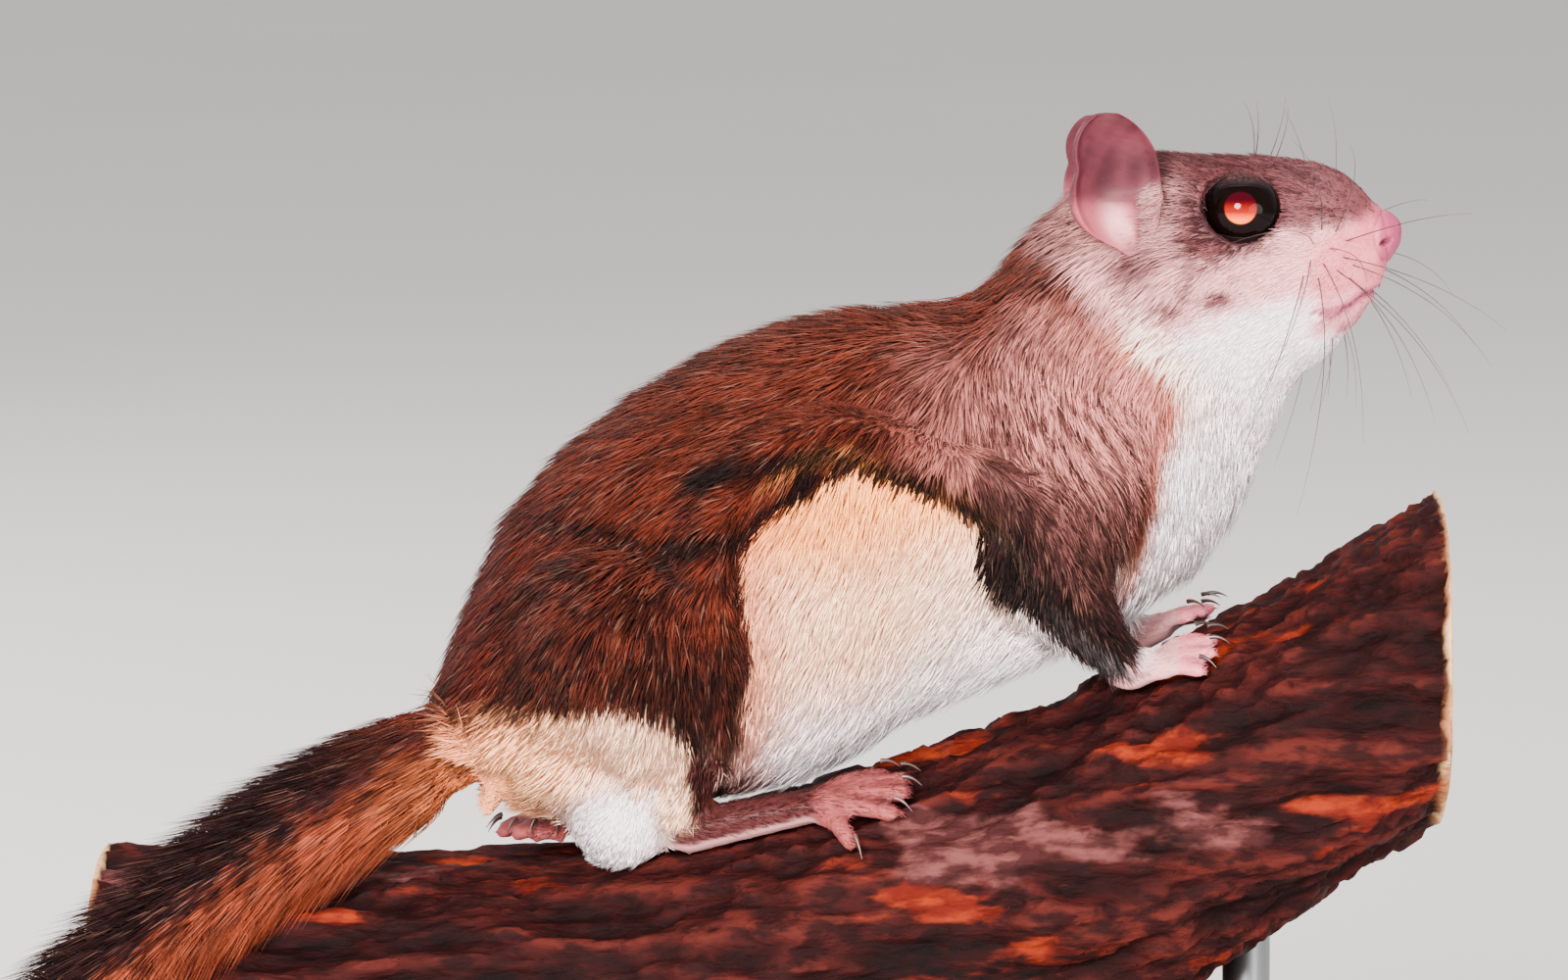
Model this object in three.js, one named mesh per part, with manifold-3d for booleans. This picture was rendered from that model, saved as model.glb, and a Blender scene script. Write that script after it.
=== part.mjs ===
// A flying squirrel crouched on a cut length of bough, held up by a plain stand.
// Millimetres. The animal faces +X, its left side is +Y and its right side is -Y, and +Z is up.
// The origin is the centre of the stand's underside.
// Heights of the animal and the bough are measured from the bark under the belly, at x = 0.
import * as THREE from 'three';
import { mergeVertices } from 'three/addons/utils/BufferGeometryUtils.js';
import Module from 'manifold-3d';

// Driving dimensions of the stand and the bough
const BARK_ABOVE_FLOOR = 85;
const BASE_LENGTH = 156;
const BASE_WIDTH = 92;
const BASE_THICK = 8;
const BASE_CORNER = 12;
const ROD_RADIUS = 3;
const ROD_PLACES = { rear: -40, front: 58 };
const ROD_SOCKET = 5;
const BOUGH_START = -86;
const BOUGH_END = 82;
const BOUGH_HALF_WIDTH = [35, 28];
const BOUGH_HALF_HEIGHT = [27, 21];
const BOUGH_SLOPE = 0.276;
const BOUGH_BEND = 0.0023;
const BOUGH_ROUNDNESS = 2.5;
const BARK_DIP = { x: -21, depth: 1.6, reach: 9 };

// Driving dimensions of the animal
const YAW_SLOPE = 0.08;
const YAW_PIVOT = 40;
const EYE_RADIUS = 4.9;
const EYE_CENTRE = [56.7, 8.3, 73.6];
const EAR_ROOT = [41.2, 13.2, 68.2];
const EAR_HEIGHT = 17.9;
const EAR_HALF_WIDTHS = [0.8, 4.0, 5.4, 5.6, 5.3, 5.0, 4.6];
const EAR_MIDDLES = [2.2, 0.7, 0, -0.2, -0.3, -0.9, -1.4];
const EAR_TIP = { from: 0.7, reach: 0.32 };
const EAR_TURN = { outward: 0.1, back: 0.035, forward: 0.28 };
const EAR_CUP = 2.2;
const EAR_THICK = 0.9;
const EAR_ROOT_THICK = 4.5;
const EAR_ROOT_SHARE = 0.55;
const TOE_RADIUS = 1.25;
const FINGER_RADIUS = 1.05;
const CLAW_LENGTH = 2.6;
const GAP = 0.3;
const RIGHT = -1;
const LEFT = 1;
const SIDES = { right: RIGHT, left: LEFT };

const BODY_SECTORS = 20;
const BODY_RINGS = 31;
const LIMB_SECTORS = 8;
const DIGIT_SECTORS = 5;
const BOUGH_SECTORS = 20;
const BOUGH_RINGS = 14;

const wasm = await Module();
wasm.setup();

const vec = (p) => new THREE.Vector3(p[0], p[1], p[2]);

// Solids and the cuts between them

function solidFrom(geometry) {
  const bare = geometry.clone();
  for (const name of ['normal', 'uv']) bare.deleteAttribute(name);
  const merged = mergeVertices(bare, 1e-4);
  const vertProperties = new Float32Array(merged.attributes.position.array);
  const triVerts = new Uint32Array(merged.index.array);
  return new wasm.Manifold(new wasm.Mesh({ numProp: 3, vertProperties, triVerts }));
}

// A cut can leave crumbs beside the piece itself, so the largest body is kept.
function largestBody(solid) {
  const bodies = solid.decompose();
  return bodies.reduce((best, body) => (body.volume() > best.volume() ? body : best));
}

function geometryFrom(solid) {
  const mesh = solid.getMesh();
  const geometry = new THREE.BufferGeometry();
  geometry.setAttribute('position', new THREE.BufferAttribute(mesh.vertProperties, 3));
  geometry.setIndex(new THREE.BufferAttribute(mesh.triVerts, 1));
  geometry.computeVertexNormals();
  return geometry;
}

// A closed skin over rings of points, with each end closed by a fan to its ring's centre.
function skinOver(rings) {
  const sectors = rings[0].length;
  const points = rings.flat();
  const faces = [];
  const cornerOf = (ring, sector) => ring * sectors + (sector % sectors);
  for (let ring = 0; ring < rings.length - 1; ring += 1) {
    for (let sector = 0; sector < sectors; sector += 1) {
      const a = cornerOf(ring, sector);
      const b = cornerOf(ring, sector + 1);
      const c = cornerOf(ring + 1, sector);
      const d = cornerOf(ring + 1, sector + 1);
      faces.push([a, b, d], [a, d, c]);
    }
  }
  for (const ring of [0, rings.length - 1]) {
    const centre = new THREE.Vector3();
    for (const point of rings[ring]) centre.addScaledVector(point, 1 / sectors);
    points.push(centre);
    const hub = points.length - 1;
    for (let sector = 0; sector < sectors; sector += 1) {
      const edge = [cornerOf(ring, sector), cornerOf(ring, sector + 1)];
      faces.push(ring === 0 ? [edge[1], edge[0], hub] : [edge[0], edge[1], hub]);
    }
  }
  let volume = 0;
  for (const [a, b, c] of faces) {
    volume += points[a].dot(points[b].clone().cross(points[c]));
  }
  const outward = volume > 0 ? faces : faces.map(([a, b, c]) => [a, c, b]);
  const geometry = new THREE.BufferGeometry().setFromPoints(points);
  geometry.setIndex(outward.flat());
  return geometry;
}

// A smooth value through a list of numbers, at a place from 0 to 1 along it.
function smoothValue(values, place) {
  const last = values.length - 1;
  const at = Math.min(place, 1) * last;
  const index = Math.min(Math.floor(at), last - 1);
  const t = at - index;
  const before = values[Math.max(index - 1, 0)];
  const here = values[index];
  const next = values[index + 1];
  const after = values[Math.min(index + 2, last)];
  const slopeHere = (next - before) / 2;
  const slopeNext = (after - here) / 2;
  return here * (2 * t ** 3 - 3 * t ** 2 + 1) + slopeHere * (t ** 3 - 2 * t ** 2 + t)
    + next * (3 * t ** 2 - 2 * t ** 3) + slopeNext * (t ** 3 - t ** 2);
}

const superCurve = (value, power) => Math.sign(value) * Math.abs(value) ** (2 / power);

// A limb, digit, claw or tail: a round-ended body along a curve. Each stop is
// [x, y, z, half depth, half width], and the width lies along the side direction.
function limb(stops, options = {}) {
  const { sectors = LIMB_SECTORS, steps = 8, side = [0, 1, 0], domes = [0.15, 0.55], grow = 0 } = options;
  const curve = new THREE.CatmullRomCurve3(stops.map(vec), false, 'centripetal');
  const depths = stops.map((stop) => stop[3]);
  const widths = stops.map((stop) => stop[4] ?? stop[3]);
  const places = [];
  for (const angle of domes) places.push({ t: 0, dome: angle, way: -1 });
  for (let step = 0; step <= steps; step += 1) places.push({ t: step / steps, dome: 1, way: 0 });
  for (const angle of [...domes].reverse()) places.push({ t: 1, dome: angle, way: 1 });
  const rings = places.map(({ t, dome, way }) => {
    const centre = curve.getPoint(t);
    const along = curve.getTangent(t);
    const across = vec(side);
    across.addScaledVector(along, -across.dot(along)).normalize();
    const up = new THREE.Vector3().crossVectors(across, along).normalize();
    const swell = dome === 1 ? 1 : Math.sin(dome * Math.PI / 2);
    const depth = smoothValue(depths, t) + grow;
    const width = smoothValue(widths, t) + grow;
    centre.addScaledVector(along, way * Math.cos(dome * Math.PI / 2) * Math.min(depth, width));
    return Array.from({ length: sectors }, (_, sector) => {
      const angle = (sector / sectors) * 2 * Math.PI;
      return centre.clone()
        .addScaledVector(up, Math.cos(angle) * depth * swell)
        .addScaledVector(across, Math.sin(angle) * width * swell);
    });
  });
  return solidFrom(skinOver(rings));
}

// A half space as a large box, on the side of the plane that the direction points to.
function halfSpace(point, direction, gap) {
  const size = 400;
  const box = new THREE.BoxGeometry(size, size, size).translate(0, 0, size / 2);
  const facing = vec(direction).normalize();
  box.applyQuaternion(new THREE.Quaternion().setFromUnitVectors(new THREE.Vector3(0, 0, 1), facing));
  const start = vec(point).addScaledVector(facing, gap / 2);
  box.translate(start.x, start.y, start.z);
  return solidFrom(box);
}

// The animal's middle plane leans a little, so that its rump is nearer to -Y than its nose.
const midline = (x) => YAW_SLOPE * (x - YAW_PIVOT);
const onSide = (side, x, lateral, z) => [x, midline(x) + side * lateral, z];

// The bough

function boughSize(x) {
  const t = (x - BOUGH_START) / (BOUGH_END - BOUGH_START);
  const between = (pair) => pair[0] + (pair[1] - pair[0]) * t;
  return { halfWidth: between(BOUGH_HALF_WIDTH), halfHeight: between(BOUGH_HALF_HEIGHT) };
}

function boughRidge(x) {
  const dip = BARK_DIP.depth * Math.exp(-(((x - BARK_DIP.x) / BARK_DIP.reach) ** 2));
  return BOUGH_SLOPE * x + BOUGH_BEND * x * x - dip;
}

// A point of the bough's surface, with the angle measured from the top towards +Y.
function boughPoint(x, angle, grow = 0) {
  const { halfWidth, halfHeight } = boughSize(x);
  const lumps = 0.022 * Math.sin(3 * angle + x / 13) + 0.018 * Math.sin(5 * angle - x / 9 + 1)
    + 0.02 * Math.sin(2 * angle + x / 21 + 2);
  const awayFromTop = (1 - Math.cos(angle)) / 2;
  const swell = 1 + lumps * awayFromTop * 2;
  const y = superCurve(Math.sin(angle), BOUGH_ROUNDNESS) * (halfWidth + grow) * swell;
  const z = superCurve(Math.cos(angle), BOUGH_ROUNDNESS) * (halfHeight + grow) * swell;
  return new THREE.Vector3(x, y, boughRidge(x) - halfHeight + z);
}

// The height of the bark at a place on the bough's upper side.
function barkHeight(x, y) {
  let low = -Math.PI / 2;
  let high = Math.PI / 2;
  for (let step = 0; step < 24; step += 1) {
    const middle = (low + high) / 2;
    if (boughPoint(x, middle).y < y) low = middle;
    else high = middle;
  }
  return boughPoint(x, (low + high) / 2).z;
}

function boughSolid(grow = 0) {
  const rings = [];
  for (let step = 0; step <= BOUGH_RINGS; step += 1) {
    const x = BOUGH_START - grow + ((BOUGH_END - BOUGH_START + 2 * grow) * step) / BOUGH_RINGS;
    rings.push(Array.from({ length: BOUGH_SECTORS }, (_, sector) => (
      boughPoint(x, (sector / BOUGH_SECTORS) * 2 * Math.PI, grow))));
  }
  return solidFrom(skinOver(rings));
}

// Head, neck and trunk as one body, outlined by its back and its belly

const BODY_SECTIONS = [
  { at: 'tail root', back: [-43.6, 14.6], belly: [-39.3, -2.1], halfWidth: 8.6 },
  { at: 'buttock', back: [-41.6, 19.6], belly: [-33.0, -1.8], halfWidth: 11.6 },
  { at: 'rump', back: [-38.9, 26.6], belly: [-26.0, -3.2], halfWidth: 14.2 },
  { at: 'hip', back: [-32.8, 38.5], belly: [-17.0, -2.8], halfWidth: 15.8 },
  { at: 'loin', back: [-20.5, 49.8], belly: [-9.0, -0.4], halfWidth: 16.8 },
  { at: 'waist', back: [-8.0, 57.0], belly: [-1.5, 1.0], halfWidth: 17.6 },
  { at: 'mid back', back: [4.2, 60.9], belly: [6.1, 3.3], halfWidth: 17.6 },
  { at: 'ribs', back: [13.5, 61.7], belly: [15.5, 9.0], halfWidth: 16.6 },
  { at: 'breast', back: [19.5, 62.5], belly: [29.5, 14.6], halfWidth: 15.2 },
  { at: 'shoulder', back: [23.6, 63.7], belly: [43.0, 21.2], halfWidth: 14.2 },
  { at: 'neck base', back: [26.3, 65.8], belly: [52.8, 28.8], halfWidth: 13.6 },
  { at: 'neck', back: [28.6, 68.6], belly: [58.4, 37.6], halfWidth: 13.1 },
  { at: 'nape', back: [31.6, 72.2], belly: [61.8, 45.8], halfWidth: 12.7 },
  { at: 'back of head', back: [36.6, 76.4], belly: [64.0, 51.2], halfWidth: 12.6 },
  { at: 'ears', back: [45.5, 80.0], belly: [65.8, 52.9], halfWidth: 12.5 },
  { at: 'brow', back: [54.6, 80.0], belly: [67.2, 54.0], halfWidth: 12.2 },
  { at: 'eyes', back: [61.7, 79.8], belly: [68.6, 55.4], halfWidth: 10.9 },
  { at: 'muzzle base', back: [67.0, 78.9], belly: [70.0, 57.2], halfWidth: 8.8 },
  { at: 'muzzle', back: [70.8, 76.9], belly: [71.6, 59.2], halfWidth: 6.9 },
  { at: 'mouth', back: [73.2, 74.3], belly: [73.0, 61.2], halfWidth: 5.3 },
  { at: 'lip', back: [74.9, 72.9], belly: [74.5, 64.0], halfWidth: 4.0 },
  { at: 'nostrils', back: [76.2, 72.1], belly: [75.7, 66.8], halfWidth: 2.9 },
  { at: 'nose tip', back: [77.0, 71.2], belly: [76.9, 68.6], halfWidth: 1.4 },
];

// How far the widest level of a section sits below its middle, as a share of its half depth
const BODY_DROOP = [0, 0.05, 0.12, 0.16, 0.2, 0.2, 0.18, 0.14, 0.1, 0.05, 0, 0, 0, 0,
  0, -0.02, -0.04, -0.06, -0.06, -0.04, 0, 0, 0];
const BODY_FULLNESS = [2, 2, 2.1, 2.2, 2.3, 2.3, 2.3, 2.3, 2.2, 2.2, 2.2, 2.2, 2.2, 2.3,
  2.4, 2.4, 2.4, 2.3, 2.2, 2.1, 2.1, 2.1, 2];

function bodySolid(grow = 0) {
  const column = (read) => BODY_SECTIONS.map(read);
  const columns = {
    backX: column((s) => s.back[0]),
    backZ: column((s) => s.back[1]),
    bellyX: column((s) => s.belly[0]),
    bellyZ: column((s) => s.belly[1]),
    halfWidth: column((s) => s.halfWidth),
  };
  const rings = [];
  for (let step = 0; step <= BODY_RINGS; step += 1) {
    const t = step / BODY_RINGS;
    const value = (name) => smoothValue(columns[name], t);
    const back = new THREE.Vector3(value('backX'), 0, value('backZ'));
    const belly = new THREE.Vector3(value('bellyX'), 0, value('bellyZ'));
    const middle = back.clone().add(belly).multiplyScalar(0.5);
    const up = back.clone().sub(middle);
    up.setLength(up.length() + grow);
    const droop = smoothValue(BODY_DROOP, t);
    const fullness = smoothValue(BODY_FULLNESS, t);
    rings.push(Array.from({ length: BODY_SECTORS }, (_, sector) => {
      const angle = (sector / BODY_SECTORS) * 2 * Math.PI;
      const high = superCurve(Math.cos(angle), fullness);
      const wide = superCurve(Math.sin(angle), fullness) * (1 - droop * Math.cos(angle));
      const point = middle.clone().addScaledVector(up, high);
      point.y = midline(point.x) + wide * (value('halfWidth') + grow);
      return point;
    }));
  }
  return solidFrom(skinOver(rings));
}

// Legs

const thighSolid = (side, grow = 0) => limb([
  [...onSide(side, -30, 8.5, 14), 10, 8],
  [...onSide(side, -21, 12.4, 18.5), 16.5, 10.4],
  [...onSide(side, -13, 14.4, 19), 13.5, 8.4],
], { sectors: 12, steps: 5, grow });

const shankSolid = (side, knee, heel, grow = 0) => limb([
  [...knee, 6.4, 5.4],
  [(knee[0] + heel[0]) / 2, (knee[1] + heel[1]) / 2, (knee[2] + heel[2]) / 2, 4.6, 4.4],
  [...heel, 2.9, 2.9],
], { steps: 4, domes: [0.4], grow });

const upperArmSolid = (side, grow = 0) => limb([
  [...onSide(side, 38.5, 8.6, 48), 9.0, 6.6],
  [...onSide(side, 35, 10.8, 37.5), 11, 7.4],
  [...onSide(side, 32.5, 12.4, 29), 8.6, 6.4],
], { sectors: 10, steps: 4, grow });

const forearmSolid = (side, wrist, grow = 0) => limb([
  [...onSide(side, 33, 13.2, 29), 7.6, 6],
  [...onSide(side, 37.5, 14, 22.6), 5.4, 4.8],
  [...wrist, 2.9, 3],
], { steps: 4, domes: [0.4], grow });

// A foot or hand whose digits lie along the bark. Every point is found from the heel or wrist,
// the ball, and one row for each digit: where it leaves the ball, its direction and its length.
const FOOT_SIZE = { heelSize: [3.0, 2.9], ballSize: [2.1, 3.6], radius: TOE_RADIUS };
const HAND_SIZE = { heelSize: [2.8, 2.8], ballSize: [1.7, 2.9], radius: FINGER_RADIUS };
const FEET = {
  foot_right: {
    heel: [-12.4, -17.2],
    ball: [5.6, -18.6],
    ...FOOT_SIZE,
    digits: [[3.0, 16, 7.4], [1.6, 4, 9.8], [0.1, -5, 10.2], [-1.5, -16, 9.6], [-2.8, -50, 5.8]],
  },
  foot_left: {
    heel: [-11.5, 14.8],
    ball: [-28.5, 7.6],
    ...FOOT_SIZE,
    digits: [[3.0, 60, 7.4], [1.6, 46, 9.6], [0, 34, 10], [-1.6, 20, 9.6], [-3.0, 0, 7.2]],
  },
  hand_right: {
    heel: [42.4, -15.4],
    ball: [47.2, -15.6],
    ...HAND_SIZE,
    digits: [[2.3, 24, 5.2], [0.8, 8, 6.4], [-0.8, -8, 6.6], [-2.3, -26, 5.6]],
  },
  hand_left: {
    heel: [43.4, 14.2],
    ball: [48.0, 13.2],
    ...HAND_SIZE,
    digits: [[-2.3, -22, 5.2], [-0.8, -8, 6.4], [0.8, 6, 6.6], [2.3, 22, 5.6]],
  },
};

const overBark = (x, y, height) => [x, y, barkHeight(x, y) + height];

// The spine of one digit as points over the bark, with the direction in which it leaves.
function digitLine(foot, [offset, turn, length]) {
  const forward = new THREE.Vector2(foot.ball[0] - foot.heel[0], foot.ball[1] - foot.heel[1]).normalize();
  const across = new THREE.Vector2(-forward.y, forward.x);
  const way = forward.clone().rotateAround(new THREE.Vector2(), THREE.MathUtils.degToRad(turn));
  const at = (distance) => {
    const x = foot.ball[0] + across.x * offset + way.x * distance;
    const y = foot.ball[1] + across.y * offset + way.y * distance;
    return [x, y];
  };
  return { way, at, length };
}

function digitSolid(foot, digit) {
  const { at, length } = digitLine(foot, digit);
  const { radius } = foot;
  const lift = radius + GAP;
  return limb([
    [...overBark(...at(-1.2), lift + 0.7), radius * 1.15],
    [...overBark(...at(length * 0.36), lift + 1.0), radius * 1.05],
    [...overBark(...at(length * 0.7), lift + 0.3), radius * 0.95],
    [...overBark(...at(length - radius), lift), radius],
  ], { sectors: DIGIT_SECTORS, steps: 3, domes: [0.5] });
}

function clawSolid(foot, digit) {
  const { at, length } = digitLine(foot, digit);
  const start = length + GAP;
  const lift = foot.radius + GAP;
  return limb([
    [...overBark(...at(start + 0.5), lift + 0.5), 0.62, 0.42],
    [...overBark(...at(start + CLAW_LENGTH * 0.55), lift + 0.15), 0.46, 0.32],
    [...overBark(...at(start + CLAW_LENGTH), lift - 0.85), 0.16, 0.14],
  ], { sectors: DIGIT_SECTORS, steps: 2, domes: [] });
}

function footSolid(foot) {
  const [heelDepth, heelWidth] = foot.heelSize;
  const [ballDepth, ballWidth] = foot.ballSize;
  const middle = foot.heel.map((value, axis) => (value + foot.ball[axis]) / 2);
  const across = [foot.heel[1] - foot.ball[1], foot.ball[0] - foot.heel[0], 0];
  let solid = limb([
    [...overBark(...foot.heel, heelDepth + GAP), heelDepth, heelWidth],
    [...overBark(...middle, (heelDepth + ballDepth) / 2 + GAP), (heelDepth + ballDepth) / 2, heelWidth],
    [...overBark(...foot.ball, ballDepth + GAP), ballDepth, ballWidth],
  ], { sectors: 7, steps: 3, side: across, domes: [0.4] });
  for (const digit of foot.digits) solid = solid.add(digitSolid(foot, digit));
  return solid;
}

// An ear: a round cupped leaf beside the head, open to the side and a little forwards, thick at
// its root, where it grows out of the head.
// Along the ear t runs from its root to its tip, and across it s runs from -1 behind to 1 in front.
function earSolid(side) {
  const across = 6;
  const up = 6;
  const root = vec(onSide(side, ...EAR_ROOT));
  const lean = new THREE.Euler(-side * EAR_TURN.outward, -EAR_TURN.back, -side * EAR_TURN.forward, 'ZYX');
  const halfWidthAt = (t) => {
    const beyond = Math.max(t - EAR_TIP.from, 0) / EAR_TIP.reach;
    return smoothValue(EAR_HALF_WIDTHS, t) * Math.sqrt(1 - beyond ** 2);
  };
  const backAt = (t) => EAR_THICK + EAR_ROOT_THICK * Math.max(1 - t / EAR_ROOT_SHARE, 0);
  const leafPoint = (t, s, depth) => {
    const bend = EAR_CUP * (1 - 0.6 * t) * (1 - s * s);
    const along = smoothValue(EAR_MIDDLES, t) + s * halfWidthAt(t);
    const point = new THREE.Vector3(along, side * (-bend - depth), t * EAR_HEIGHT);
    return point.applyEuler(lean).add(root);
  };
  const rings = Array.from({ length: up + 1 }, (_, step) => {
    const t = Math.sin((step / up) * Math.PI / 2);
    const places = Array.from({ length: across + 1 }, (_, index) => (2 * index) / across - 1);
    const outer = places.map((s) => leafPoint(t, s, backAt(t)));
    const inner = [...places].reverse().map((s) => leafPoint(t, s, 0));
    return [...outer, ...inner];
  });
  return solidFrom(skinOver(rings));
}

const sphereSolid = (centre, radii, around = 12, down = 8) => {
  const ball = new THREE.SphereGeometry(1, around, down).scale(...radii);
  return solidFrom(ball.translate(...centre));
};

const eyeSolid = (side, grow = 0) => sphereSolid(
  onSide(side, ...EYE_CENTRE),
  [EYE_RADIUS + grow, EYE_RADIUS * 0.9 + grow, EYE_RADIUS * 0.92 + grow],
);

const scrotumSolid = (grow = 0) => limb([
  [-19.6, -10.5, 4.4, 6.0 + grow, 6.0 + grow],
  [-20.2, -13.0, -0.2, 7.0 + grow, 7.0 + grow],
  [-20.0, -14.2, -2.0, 6.4 + grow, 6.6 + grow],
], { sectors: 10, steps: 3, side: [1, 0, 0] });

// The tail: round at its root and flat beyond it, lying down the bough's near flank
const TAIL_STOPS = [
  [-41.8, -6.7, 6.2, 7.6, 8.2],
  [-53.2, -12.8, 0.8, 6.4, 8.9],
  [-63.8, -19.4, -5.0, 5.6, 9.9],
  [-71.4, -25.0, -9.6, 5.2, 10.2],
  [-79.6, -32.2, -15.6, 4.9, 10.2],
  [-88.4, -38.0, -22.8, 4.6, 9.8],
  [-97.6, -41.2, -30.4, 4.3, 9.2],
  [-107.0, -42.6, -38.0, 3.7, 7.8],
  [-115.6, -42.8, -44.8, 2.4, 4.6],
];
const TAIL_BROAD = [0.35, 0.55, 0.76];

const tailSolid = (grow = 0) => limb(TAIL_STOPS, { sectors: 12, steps: 16, side: TAIL_BROAD, grow });

// The gliding skin, drawn up in a fold along the flank from the wrist over the elbow to the ankle
const FOLD_EDGE = [
  [41.5, 16.4], [37.4, 20.6], [32.4, 26.4], [27.4, 33.6], [23.6, 38.2], [17.2, 40.6],
  [10.6, 44.2], [4.6, 44.6], [-0.6, 41.4], [-4.2, 36.2], [-5.4, 30.0], [-5.6, 22.0],
  [-5.2, 13.0], [-6.6, 5.0],
];
const FOLD_HALF_WIDTH = [1.6, 2.4, 3.2, 3.8, 3.6, 3.2, 3.0, 3.0, 3.2, 3.4, 3.4, 3.0, 2.4, 1.6];
const FOLD_HALF_THICK = 2.0;
const FOLD_PROUD = 0.7;
const FOLD_STEPS = 18;
const FOLD_SECTORS = 6;
const FOLD_TAPER = [0.35, 0.75];

// The outermost point of the body on one side, at a place seen from that side.
function sideSurface(meshes, side, x, z) {
  const start = new THREE.Vector3(x, side * 100, z);
  const caster = new THREE.Raycaster(start, new THREE.Vector3(0, -side, 0), 0, 100);
  const hit = caster.intersectObjects(meshes)[0];
  return hit ? hit.point.y : null;
}

function foldSolid(meshes, side, grow = 0) {
  const edgePoints = FOLD_EDGE.map(([x, z]) => new THREE.Vector3(x, 0, z));
  const edge = new THREE.CatmullRomCurve3(edgePoints, false, 'centripetal');
  const places = Array.from({ length: FOLD_STEPS + 1 }, (_, step) => {
    const t = step / FOLD_STEPS;
    const along = edge.getTangent(t);
    const halfWidth = smoothValue(FOLD_HALF_WIDTH, t);
    const middle = edge.getPoint(t).addScaledVector(new THREE.Vector3(along.z, 0, -along.x), halfWidth);
    return { middle, halfWidth, surface: sideSurface(meshes, side, middle.x, middle.z) };
  });
  const firstSurface = places.find(({ surface }) => surface !== null).surface;
  places.forEach(({ middle }, index) => {
    const near = places.slice(Math.max(index - 2, 0), index + 3);
    const level = near.reduce((sum, { surface }) => sum + (surface ?? firstSurface), 0) / near.length;
    middle.y = level + side * FOLD_PROUD;
  });
  const rings = places.map(({ middle, halfWidth }, index) => {
    const before = places[Math.max(index - 1, 0)].middle;
    const after = places[Math.min(index + 1, FOLD_STEPS)].middle;
    const along = after.clone().sub(before).normalize();
    const flat = new THREE.Vector3(along.z, 0, -along.x).normalize();
    const lateral = new THREE.Vector3().crossVectors(along, flat).normalize();
    const fromEnd = Math.min(index, FOLD_STEPS - index);
    const taper = FOLD_TAPER[fromEnd] ?? 1;
    return Array.from({ length: FOLD_SECTORS }, (_, sector) => {
      const angle = (sector / FOLD_SECTORS) * 2 * Math.PI;
      return middle.clone()
        .addScaledVector(flat, Math.cos(angle) * (halfWidth * taper + grow))
        .addScaledVector(lateral, Math.sin(angle) * (FOLD_HALF_THICK * taper + grow));
    });
  });
  return solidFrom(skinOver(rings));
}

// Building and parting the whole animal

const bough = boughSolid();
const boughRoom = boughSolid(GAP);
const pieces = {};
const wholeBody = bodySolid();
const bodyRoom = bodySolid(GAP);
const knees = {};
const heels = {};
const wrists = {};
for (const [name, side] of Object.entries(SIDES)) {
  const foot = FEET[`foot_${name}`];
  const hand = FEET[`hand_${name}`];
  knees[name] = onSide(side, -9.5, 14.6, 20.5);
  heels[name] = overBark(...foot.heel, 5.4);
  wrists[name] = overBark(...hand.heel, 4.2);
}

const probes = [wholeBody];
for (const [name, side] of Object.entries(SIDES)) {
  probes.push(thighSolid(side), upperArmSolid(side), forearmSolid(side, wrists[name]),
    shankSolid(side, knees[name], heels[name]));
}
const probeMeshes = probes.map((solid) => {
  const mesh = new THREE.Mesh(geometryFrom(solid), new THREE.MeshBasicMaterial({ side: THREE.DoubleSide }));
  mesh.updateMatrixWorld();
  return mesh;
});

let torso = wholeBody.subtract(scrotumSolid(GAP)).subtract(tailSolid(GAP)).subtract(boughRoom);
for (const [name, side] of Object.entries(SIDES)) {
  const foldRoom = foldSolid(probeMeshes, side, GAP);
  const shank = shankSolid(side, knees[name], heels[name]);
  const shankRoom = shankSolid(side, knees[name], heels[name], GAP);
  const forearmRoom = forearmSolid(side, wrists[name], GAP);
  pieces[`patagium_${name}`] = foldSolid(probeMeshes, side).subtract(bodyRoom);
  pieces[`thigh_${name}`] = thighSolid(side).subtract(bodyRoom).subtract(foldRoom).subtract(shankRoom)
    .subtract(scrotumSolid(GAP));
  pieces[`shank_${name}`] = shank.subtract(bodyRoom).subtract(foldRoom).subtract(boughRoom)
    .subtract(scrotumSolid(GAP));
  pieces[`foot_${name}`] = footSolid(FEET[`foot_${name}`]).subtract(shankRoom).subtract(bodyRoom)
    .subtract(foldRoom).subtract(boughRoom).subtract(scrotumSolid(GAP));
  pieces[`upper_arm_${name}`] = upperArmSolid(side).subtract(bodyRoom).subtract(foldRoom)
    .subtract(forearmRoom);
  pieces[`forearm_${name}`] = forearmSolid(side, wrists[name]).subtract(bodyRoom).subtract(foldRoom)
    .subtract(boughRoom);
  pieces[`hand_${name}`] = footSolid(FEET[`hand_${name}`]).subtract(forearmRoom).subtract(foldRoom)
    .subtract(boughRoom);
  pieces[`eye_${name}`] = eyeSolid(side);
  pieces[`ear_${name}`] = earSolid(side).subtract(bodyRoom);
  torso = torso.subtract(eyeSolid(side, GAP));
}

const HEAD_CUT = { point: [47, 0, 62], direction: [0.79, 0, 0.61] };
const NECK_CUT = { point: [37, 0, 46], direction: [0.86, 0, 0.51] };
const NOSE_CUT = { point: [75.0, 0, 69], direction: [1, 0, 0.12] };
const reversed = (direction) => direction.map((value) => -value);
const ahead = (cut) => halfSpace(cut.point, cut.direction, GAP);
const behind = (cut) => halfSpace(cut.point, reversed(cut.direction), GAP);
pieces.nose = torso.intersect(ahead(NOSE_CUT));
pieces.head = torso.intersect(ahead(HEAD_CUT)).intersect(behind(NOSE_CUT));
pieces.neck = torso.intersect(behind(HEAD_CUT)).intersect(ahead(NECK_CUT));
pieces.trunk = torso.intersect(behind(NECK_CUT));
pieces.scrotum = scrotumSolid().subtract(boughRoom);

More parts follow.
